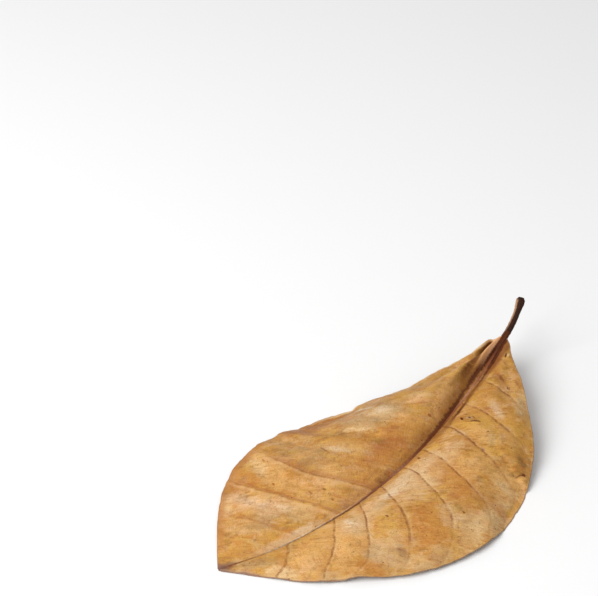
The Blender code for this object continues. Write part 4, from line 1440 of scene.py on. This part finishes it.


# Bands of colour along the midrib: tone, softness, then at each station a centre and a half width
# in millimetres and a strength; the left half is positive. The two left bands on the steep wall are painted
# shade over real brown.
ribBands = [
    # painted shade over real brown: a broad band beyond the left wall
    ("sienna", 1.1, [(0.06, 2.8, 1.6, 0.0), (0.1, 3.0, 2.0, 0.35), (0.14, 2.9, 1.9, 0.62),
                     (0.2, 2.4, 1.6, 0.4), (0.27, 2.2, 1.8, 0.32), (0.31, 1.8, 0.8, 0.15),
                     (0.34, 2.2, 1.2, 0.2), (0.38, 2.6, 2.2, 0.45), (0.44, 2.0, 1.4, 0.2),
                     (0.58, 1.6, 1.4, 0.16), (0.63, 1.4, 1.2, 0.0)]),
    ("sienna", 0.9, [(0.0, -3.0, 2.6, 0.85), (0.05, -3.4, 2.2, 0.85), (0.1, -3.5, 1.6, 0.85),
                     (0.16, -3.2, 1.2, 0.65), (0.21, -2.4, 1.6, 0.5), (0.27, -2.6, 1.2, 0.5),
                     (0.33, -2.2, 2.5, 0.7), (0.36, -2.2, 2.3, 0.55), (0.39, -2.2, 1.7, 0.35),
                     (0.42, -1.8, 1.3, 0.12), (0.45, -1.6, 1.2, 0.0)]),
    # painted shade over real dark brown: the left half's steep wall beside the midrib
    ("umber", 0.5, [(0.0, 0.8, 1.5, 0.95), (0.035, 0.8, 1.1, 1.0), (0.1, 1.2, 1.0, 1.0),
                    (0.15, 1.5, 0.85, 0.95), (0.2, 1.35, 0.5, 0.9), (0.26, 1.0, 0.8, 0.95),
                    (0.32, 0.6, 1.0, 0.95), (0.385, 0.1, 1.1, 0.84), (0.42, 0.1, 1.1, 0.66),
                    (0.445, 0.1, 1.2, 0.48), (0.505, 0.3, 1.1, 0.45), (0.56, 0.5, 1.0, 0.48),
                    (0.59, 0.3, 0.8, 0.35), (0.62, 0.1, 0.7, 0.0)]),
    ("umber", 0.4, [(0.0, -1.8, 0.9, 1.0), (0.035, -1.7, 0.9, 1.0), (0.1, -2.1, 0.9, 0.95),
                    (0.16, -2.3, 0.6, 0.65), (0.21, -2.2, 0.9, 0.35), (0.24, -2.8, 0.6, 0.5),
                    (0.265, -3.0, 0.7, 0.95), (0.29, -3.1, 0.6, 0.75), (0.31, -3.1, 0.6, 0.25),
                    (0.33, -3.0, 0.6, 0.0)]),
    ("umber", 0.35, [(0.56, -0.3, 0.4, 0.0), (0.6, -0.4, 0.5, 0.7), (0.675, -0.9, 0.6, 0.85),
                     (0.71, -0.6, 0.6, 0.75), (0.74, -0.5, 0.6, 0.7), (0.8, -0.5, 0.35, 0.6),
                     (0.855, -0.2, 0.3, 0.55), (0.91, -0.3, 0.3, 0.45), (0.95, 0.0, 0.3, 0.6),
                     (1.0, 0.0, 0.4, 0.8)]),
    ("bone", 0.7, [(0.6, 2.0, 0.2, 0.0), (0.68, 1.9, 0.2, 0.12), (0.73, 1.6, 0.2, 0.5),
                   (0.8, 1.5, 0.4, 0.7), (0.855, 1.5, 0.45, 0.62), (0.89, 1.4, 0.3, 0.3),
                   (0.93, 1.3, 0.2, 0.0)]),
]
ribBandScale = (10.0, 5.0)  # millimetres that a ramp's red and green stand for


def rampByStation(tree, station, stops):
    ramp = addNode(tree, "ShaderNodeValToRGB", {"Fac": station})
    stack = ramp.color_ramp.elements
    while len(stack) < len(stops):
        stack.new(1.0)
    for element, (at, color) in zip(stack, stops):
        element.position = at
        element.color = color
    return ramp.outputs["Color"]


# Colour at the midrib: dark walls on the left half, painted shade over real brown; a dark line at its right
# edge, a pale strip towards the tip
def ribShadeGroup():
    inputs = [("Color", "Color", None), ("Station", "Float", 0.0), ("Rib Gap", "Float", 0.0),
              ("Streak", "Float", 0.5)]
    tree, given, result = newGroup("ribShade", "ShaderNodeTree", inputs, [("Color", "Color")])
    station = given["Station"]
    rag = swing(tree, given["Streak"], 1.9)
    gap = added(tree, given["Rib Gap"], rag)
    color = given["Color"]
    far, wide = ribBandScale
    for paint, soft, rows in ribBands:
        stops = [(at, (0.5 + centre / far, half / wide, amount, 1.0)) for at, centre, half, amount in rows]
        ramp = rampByStation(tree, station, stops)
        band = addNode(tree, "ShaderNodeSeparateColor", {"Color": ramp}).outputs
        centre = calculate(tree, "MULTIPLY_ADD", band["Red"], far, -0.5 * far)
        away = calculate(tree, "ABSOLUTE", less(tree, gap, centre))
        away = less(tree, away, product(tree, band["Green"], wide))
        mask = product(tree, mapped(tree, away, soft, -soft), band["Blue"])
        color = mixColor(tree, mask, color, tone(paint))
    tipShade = mapped(tree, station, 0.968, 0.992, 0.0, 0.80)
    color = mixColor(tree, tipShade, color, tone("plum"))
    tree.links.new(color, result.inputs["Color"])
    return tree


def newMaterial(name):
    material = bpy.data.materials.new(name)
    material.use_nodes = True
    return material, material.node_tree, material.node_tree.nodes["Principled BSDF"]


# Ends a material: its bump, its sockets and how much it shines
def finishMaterial(tree, shader, looks, color, rough, height):
    bump = addNode(tree, "ShaderNodeBump", {
        "Strength": looks["bump"], "Distance": looks["bumpDepth"], "Height": height})
    for label, socket in (("Base Color", color), ("Roughness", rough), ("Normal", bump.outputs["Normal"])):
        tree.links.new(socket, shader.inputs[label])
    shader.inputs["Specular IOR Level"].default_value = looks["specular"]


def storedVector(tree, label):
    stored = addNode(tree, "ShaderNodeAttribute", attribute_name=label)
    return addNode(tree, "ShaderNodeSeparateXYZ", {"Vector": stored.outputs["Vector"]}).outputs


# The blade's finish, with the strengths of its painted light and shade; pairs are the two ends of a range,
# or left and right
bladeLooks = {
    "rung": 0.62,  # millimetres between fine cross veins
    "rungSlant": 13.0,  # millimetres that they lean over one panel of the right half
    "veinStep": 13.0,  # millimetres between side veins
    "ladder": (0.10, 0.34),
    "net": 0.12,
    "ladderTint": (0.66, 0.54, 0.42, 1.0),
    # painted shade and painted light on either side of the left half's folds
    "foldShade": 0.55,
    "foldLight": 0.30,
    "warmPanel": 0.45,
    # painted highlight along each side vein's edge
    "veinEdgeHighlight": 0.16,
    "veinLine": 0.80,
    # painted shade in the fold's hollow, and painted light on its ridge, by the stalk
    "hollow": (0.72, 0.95),
    "ridge": 0.98,
    # painted light along the rim, left and right halves
    "rimLight": (0.80, 0.16),
    # brown along the far left margin, partly painted shadow
    "rimShadowBrown": 0.70,
    "marginLeft": 0.25,
    "marginRight": (0.55, 0.85),
    "underLadder": 0.30,
    "underNet": 0.20,
    "underMargin": 0.5,
    "roughness": (0.66, 0.46),
    "underRoughness": 0.14,  # more, on the lower face
    "bump": 0.60,
    "bumpDepth": 0.00016,
    "specular": 0.24,
}


# Side veins: a broken brown line with a painted highlight along its edge towards the stalk and a warmer
# panel towards the tip;
# on the left half each fold has painted shade on its stalk side and painted light on its tip side
def paintSideVeins(tree, skin, color):
    station, cloud, isLeft, isRight = skin["station"], skin["cloud"], skin["isLeft"], skin["isRight"]
    veinGap = less(tree, skin["count"], calculate(tree, "ROUND", skin["count"]))
    veinGap = product(tree, veinGap, bladeLooks["veinStep"])
    inward = less(tree, 1.0, calculate(tree, "ABSOLUTE", skin["across"]))
    folded = mapped(tree, skin["crease"], 0.0, 0.6)
    faint = mixValue(tree, isRight, calculate(tree, "MULTIPLY_ADD", folded, 0.75, 0.12), 1.0)
    nearTip = mapped(tree, station, 0.66, 0.72)
    fading = mixValue(tree, nearTip, mapped(tree, inward, 0.04, 0.5, 0.25, 1.0), 0.9)
    strong = product(tree, fading, faint)
    broken = mapped(tree, noiseMap(tree, skin["place"], 0.30, 4.0, 0.7), 0.38, 0.58, 0.25, 1.0)
    kink = swing(tree, noiseMap(tree, skin["place"], 0.7, 3.0, 0.6), 0.7)
    lineGap = added(tree, veinGap, kink)
    bandGap = added(tree, veinGap, swing(tree, cloud, 3.0))

    # painted shade on the stalk side of a fold
    shade = product(tree, mapped(tree, bandGap, -4.6, -0.6), mapped(tree, lineGap, 0.3, -0.2), folded)
    shade = product(tree, shade, mapped(tree, inward, 0.08, 0.3), isLeft, bladeLooks["foldShade"])
    color = mixColor(tree, shade, color, tone("rust"))
    # painted light on the tip side of a fold
    light = product(tree, mapped(tree, bandGap, 5.0, 1.6), mapped(tree, lineGap, 0.4, 1.6))
    light = product(tree, light, folded, isLeft, bladeLooks["foldLight"])
    color = mixColor(tree, light, color, tone("blush"))
    warm = product(tree, mapped(tree, veinGap, 4.6, 0.3), mapped(tree, veinGap, -0.1, 0.2), strong, isRight)
    warm = product(tree, warm, mapped(tree, cloud, 0.3, 0.6, 0.0, bladeLooks["warmPanel"]))
    color = mixColor(tree, warm, color, tone("amber"))
    # painted highlight along the vein's edge towards the stalk
    edge = product(tree, mapped(tree, lineGap, -1.6, -0.7), mapped(tree, lineGap, -0.1, -0.50))
    edge = product(tree, edge, strong, broken, bladeLooks["veinEdgeHighlight"])
    color = mixColor(tree, edge, color, tone("cream"))
    line = mapped(tree, calculate(tree, "ABSOLUTE", lineGap), 0.62, 0.20)
    line = product(tree, line, strong, broken, bladeLooks["veinLine"])
    return mixColor(tree, line, color, tone("vein"))


# Painted shade in the hollow and painted light on the ridge, on the left half by the stalk
def paintFolds(tree, skin, color):
    station, isLeft = skin["station"], skin["isLeft"]
    ragged = swing(tree, skin["grain"], 1.2)
    # painted shade in the fold's hollow
    hollow = added(tree, calculate(tree, "ABSOLUTE", skin["hollowGap"]), ragged)
    hollow = product(tree, isLeft, mapped(tree, hollow, 2.3, 0.6), mapped(tree, station, 0.21, 0.12))
    hollow = product(tree, hollow, mapped(tree, skin["marginGap"], 0.4, 1.3))
    patch = noiseMap(tree, skin["place"], 0.5, 3.0, 0.6)
    hollow = product(tree, hollow, mapped(tree, patch, 0.36, 0.52, *bladeLooks["hollow"]))
    color = mixColor(tree, hollow, color, tone("hollow"))
    # painted light on the fold's ridge
    ridge = calculate(tree, "ABSOLUTE", added(tree, skin["ridgeGap"], 0.2))
    ridge = mapped(tree, added(tree, ridge, ragged), 1.4, 0.6)
    ridge = product(tree, isLeft, ridge, mapped(tree, station, 0.13, 0.05), bladeLooks["ridge"])
    return mixColor(tree, ridge, color, tone("paintedRidgeLight"))


# Painted light along the rim, strongest by the stalk on the left half; brown along the far margin of the
# left half, partly painted shadow; a dull edge all round
def paintMargin(tree, skin, color):
    station, marginGap, isRight = skin["station"], skin["marginGap"], skin["isRight"]
    # painted light along the rim
    leftRim, rightRim = bladeLooks["rimLight"]
    leftRim = mapped(tree, station, 0.42, 0.24, 0.0, leftRim)
    light = product(tree, mapped(tree, marginGap, 1.7, 0.6), mixValue(tree, isRight, leftRim, rightRim))
    color = mixColor(tree, light, color, tone("cream"))
    # brown along the far left margin, partly painted shadow
    warm = product(tree, mapped(tree, marginGap, 6.0, 1.5), skin["isLeft"])
    warm = product(tree, warm, mapped(tree, station, 0.46, 0.56))
    warm = product(tree, warm, mapped(tree, station, 0.97, 0.86), bladeLooks["rimShadowBrown"])
    color = mixColor(tree, warm, color, tone("marginBrownShadow"))
    edge = mapped(tree, added(tree, marginGap, swing(tree, skin["cloud"], 2.0)), 0.95, 0.25)
    rightEdge = mapped(tree, station, 0.55, 0.80, *bladeLooks["marginRight"])
    edge = product(tree, edge, mixValue(tree, isRight, bladeLooks["marginLeft"], rightEdge))
    return mixColor(tree, edge, color, tone("margin")), edge


def bladeMaterial(toneTree, netTree, shadeTree):
    material, tree, shader = newMaterial("driedBlade")
    skin = {"place": leafMillimetres(tree)}
    skin["station"], skin["across"], ribGap = storedVector(tree, "leafPlace")
    skin["count"], reach, skin["marginGap"] = storedVector(tree, "veinPlace")
    upperFace = addNode(tree, "ShaderNodeAttribute", attribute_name="upperFace").outputs["Fac"]
    isUpper = mapped(tree, upperFace, 0.3, 0.7)
    skin["isRight"] = mapped(tree, skin["across"], 0.01, -0.01)
    paint = useGroup(tree, toneTree, {"Place": skin["place"]})
    skin["grain"] = paint["Grain"]
    net = useGroup(tree, netTree, {
        "Count": skin["count"], "Reach": reach, "Place": skin["place"], "Rung": bladeLooks["rung"],
        "Slant": product(tree, skin["isRight"], bladeLooks["rungSlant"])})
    skin["cloud"] = noiseMap(tree, skin["place"], 0.13, 3.0, 0.6)

    upper = paint["Upper Color"]
    ladderTone = mixColor(tree, 1.0, upper, bladeLooks["ladderTint"], "MULTIPLY")
    shown = mapped(tree, skin["cloud"], 0.35, 0.62, *bladeLooks["ladder"])
    upper = mixColor(tree, product(tree, net["Ladder"], shown), upper, ladderTone)
    upper = mixColor(tree, product(tree, net["Net"], bladeLooks["net"]), upper, ladderTone)
    skin["isLeft"] = less(tree, 1.0, skin["isRight"])
    skin["ridgeGap"], skin["hollowGap"], skin["crease"] = storedVector(tree, "foldPlace")
    upper = paintSideVeins(tree, skin, upper)
    upper = useGroup(tree, shadeTree, {
        "Color": upper, "Station": skin["station"], "Rib Gap": ribGap, "Streak": paint["Streak"]})["Color"]
    upper = paintFolds(tree, skin, upper)
    upper, edge = paintMargin(tree, skin, upper)

    under = paint["Under Color"]
    for mask, strength, name in ((net["Ladder"], "underLadder", "vein"), (net["Net"], "underNet", "vein"),
                                 (edge, "underMargin", "margin")):
        under = mixColor(tree, product(tree, mask, bladeLooks[strength]), under, tone(name))
    color = mixColor(tree, isUpper, under, upper)

    rough = noiseMap(tree, skin["place"], 0.12, 4.0, 0.6)
    rough = mapped(tree, rough, 0.34, 0.62, *bladeLooks["roughness"])
    isUnder = less(tree, 1.0, isUpper)
    rough = added(tree, rough, product(tree, isUnder, bladeLooks["underRoughness"]))
    height = product(tree, net["Ladder"], 0.40)
    for pattern, share in ((net["Net"], 0.25), (paint["Grain"], 0.9), (paint["Streak"], 1.0)):
        height = added(tree, height, product(tree, pattern, share))
    finishMaterial(tree, shader, bladeLooks, color, rough, height)
    return material


# The raised veins: how brown they are, and their surface
veinLooks = {
    "line": (0.25, 0.85),  # at the margin and further in
    "broken": (0.30, 1.0),
    "left": 0.35,
    "roughness": (0.50, 0.66),
    "bump": 0.4,
    "bumpDepth": 0.00006,
    "specular": 0.24,
}


def veinMaterial(toneTree, shadeTree):
    material, tree, shader = newMaterial("driedVein")
    place = leafMillimetres(tree)
    station, across, ribGap = storedVector(tree, "leafPlace")
    paint = useGroup(tree, toneTree, {"Place": place})
    inward = less(tree, 1.0, calculate(tree, "ABSOLUTE", across))
    side = mapped(tree, across, 0.01, -0.01, veinLooks["left"], 1.0)
    patch = mapped(tree, noiseMap(tree, place, 0.30, 4.0, 0.7), 0.38, 0.58, *veinLooks["broken"])
    amount = product(tree, mapped(tree, inward, 0.0, 0.6, *veinLooks["line"]), patch, side)
    color = mixColor(tree, amount, paint["Upper Color"], tone("vein"))
    color = useGroup(tree, shadeTree, {
        "Color": color, "Station": station, "Rib Gap": ribGap, "Streak": paint["Streak"]})["Color"]
    rough = mapped(tree, paint["Grain"], 0.3, 0.7, *veinLooks["roughness"])
    finishMaterial(tree, shader, veinLooks, color, rough, paint["Grain"])
    return material


# Midrib and stalk: strengths of their fibres, spots and pale parts, the painted light on the stalk's one
# side, and their surface
barkLooks = {
    "fibreScale": (12.0, 6.0, 3.0),
    "darkFibre": 0.35,
    "lightFibre": 0.35,
    "spot": 0.45,
    "chalk": 0.6,
    "lit": (0.50, 0.90),  # painted light on one side of the stalk, from the blade to the stalk's end
    "fine": (0.80, 1.14),
    "roughness": (0.52, 0.70),
    "bump": 0.8,
    "bumpDepth": 0.00022,
    "specular": 0.16,
}


def barkMaterial(shadeTree):
    material, tree, shader = newMaterial("midribBark")
    place = leafMillimetres(tree)
    station, sideways, upward = storedVector(tree, "ribPlace")
    ribGap = addNode(tree, "ShaderNodeAttribute", attribute_name="ribGap").outputs["Fac"]
    scales = zip((station, sideways, upward), barkLooks["fibreScale"])
    fibre = joined(tree, *[product(tree, value, scale) for value, scale in scales])
    streak = noiseMap(tree, fibre, 1.6, 5.0, 0.70)
    fine = noiseMap(tree, place, 1.3, 3.0, 0.6)
    spot = noiseMap(tree, place, 0.45, 4.0, 0.7)

    # the crest's own tone along the leaf; the dark bands, partly painted shade, run on over it from the
    # blade
    crest = rampByStation(tree, station, [(at, tone(name)) for at, name in midrib["tones"]])
    darkFibre = mapped(tree, streak, 0.48, 0.64, 0.0, barkLooks["darkFibre"])
    crest = mixColor(tree, darkFibre, crest, tone("umber"))
    lightFibre = mapped(tree, streak, 0.44, 0.30, 0.0, barkLooks["lightFibre"])
    crest = mixColor(tree, lightFibre, crest, tone("blush"))
    spotted = product(tree, mapped(tree, spot, 0.54, 0.64), barkLooks["spot"])
    crest = mixColor(tree, spotted, crest, tone("crestBrown"))
    chalk = product(tree, mapped(tree, station, 0.66, 0.72), mapped(tree, station, 0.93, 0.86))
    chalk = product(tree, chalk, mapped(tree, spot, 0.40, 0.56), barkLooks["chalk"])
    crest = mixColor(tree, chalk, crest, tone("bloom"))
    color = useGroup(tree, shadeTree, {
        "Color": crest, "Station": station, "Rib Gap": ribGap, "Streak": streak})["Color"]

    # painted light on one side of the stalk
    lit = mapped(tree, added(tree, sideways, product(tree, streak, 0.7)), 0.52, 0.95)
    lit = product(tree, lit, mapped(tree, station, -0.05, -0.60, *barkLooks["lit"]))
    stalk = mixColor(tree, mapped(tree, streak, 0.55, 0.75), tone("stalkDark"), tone("crestBrown"))
    stalk = mixColor(tree, lit, stalk, tone("stalkLitSide"))
    color = mixColor(tree, mapped(tree, station, 0.03, -0.06), color, stalk)
    color = mixColor(tree, mapped(tree, station, -0.90, -0.985), color, tone("stalkDark"))

    below = mapped(tree, upward, -0.1, -0.6)
    belowColor = mixColor(tree, mapped(tree, streak, 0.3, 0.7), tone("underGrey"), tone("vein"))
    onBlade = mapped(tree, station, 0.0, 0.10)
    color = mixColor(tree, product(tree, below, onBlade), color, belowColor)
    color = mixColor(tree, 1.0, color, mapped(tree, fine, 0.3, 0.7, *barkLooks["fine"]), "MULTIPLY")

    rough = mapped(tree, streak, 0.3, 0.7, *barkLooks["roughness"])
    height = added(tree, streak, product(tree, fine, 0.5))
    finishMaterial(tree, shader, barkLooks, color, rough, height)
    return material


speckLooks = {
    "roughness": (0.5, 0.7),
    "bump": 0.5,
    "bumpDepth": 0.00006,
    "specular": 0.5,
}


def speckMaterial():
    material, tree, shader = newMaterial("darkSpeck")
    place = leafMillimetres(tree)
    fine = noiseMap(tree, place, 2.0, 2.0)
    broad = mapped(tree, noiseMap(tree, place, 0.2, 1.0), 0.35, 0.65)
    color = mixColor(tree, broad, tone("umber"), tone("rust"))
    rough = mapped(tree, fine, 0.3, 0.7, *speckLooks["roughness"])
    finishMaterial(tree, shader, speckLooks, color, rough, fine)
    return material


studio = {
    "floorSize": 3.0,
    "floorColor": (0.93, 0.93, 0.93, 1.0),
    "floorRoughness": 0.9,
    "floorSpecular": 0.1,
    "worldColor": (1.0, 1.0, 1.0, 1.0),
    "worldStrength": 0.50,
    "keySize": 0.9,
    "keyDistance": 1.3,
    "keyPower": 15.0,
    "keyFrom": (-0.80, 0.20, 0.95),
    "lens": 85.0,
    "sensor": 36.0,
    "cameraAzimuth": -43.81,
    "cameraElevation": 40.0,
    "cameraDistance": 0.7089,
    "cameraTarget": (0.04591, 0.11672, 0.0),
    "nearest": 0.01,  # closer things aren't rendered
}


def makeFloor():
    size = studio["floorSize"] / 2
    corners = [(-size, -size, 0), (size, -size, 0), (size, size, 0), (-size, size, 0)]
    mesh = bpy.data.meshes.new("floor")
    mesh.from_pydata(corners, [], [(0, 1, 2, 3)])
    floor = addPiece("floor", mesh)
    material, _, shader = newMaterial("paleFloor")
    shader.inputs["Base Color"].default_value = studio["floorColor"]
    shader.inputs["Roughness"].default_value = studio["floorRoughness"]
    shader.inputs["Specular IOR Level"].default_value = studio["floorSpecular"]
    mesh.materials.append(material)


# Places a light or camera so that it looks against a direction
def aim(thing, location, direction):
    thing.location = location
    thing.rotation_mode = "QUATERNION"
    thing.rotation_quaternion = direction.to_track_quat("Z", "Y")


def makeLights():
    world = bpy.data.worlds.new("studioWorld")
    world.use_nodes = True
    background = world.node_tree.nodes["Background"]
    background.inputs["Color"].default_value = studio["worldColor"]
    background.inputs["Strength"].default_value = studio["worldStrength"]
    bpy.context.scene.world = world
    bpy.context.scene.view_settings.view_transform = "Standard"

    light = bpy.data.lights.new("softKey", "AREA")
    light.size = studio["keySize"]
    light.energy = studio["keyPower"]
    direction = Vector(studio["keyFrom"]).normalized()
    aim(addPiece("softKey", light), direction * studio["keyDistance"], direction)


def makeCamera():
    azimuth, elevation = math.radians(studio["cameraAzimuth"]), math.radians(studio["cameraElevation"])
    back = Vector((math.sin(azimuth) * math.cos(elevation), -math.cos(azimuth) * math.cos(elevation),
                   math.sin(elevation)))
    data = bpy.data.cameras.new("camera")
    data.lens = studio["lens"]
    data.sensor_width = studio["sensor"]
    data.clip_start = studio["nearest"]
    camera = addPiece("camera", data)
    aim(camera, Vector(studio["cameraTarget"]) + back * studio["cameraDistance"], back)
    bpy.context.scene.camera = camera


toneTree = bladeToneGroup()
shadeTree = ribShadeGroup()
blade = makeBlade()
blade.data.materials.append(bladeMaterial(toneTree, veinNetGroup(), shadeTree))
rib = makeMidrib()
rib.data.materials.append(barkMaterial(shadeTree))
veins = makeVeins(veinMaterial(toneTree, shadeTree))
dots = makeSpecks(blade, speckMaterial())
print("pieces and finishes made")

for piece in (blade, rib, *veins, dots):
    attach(piece, "root")
    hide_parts("leaf")

makeFloor()
makeLights()
makeCamera()
print("studio ready")
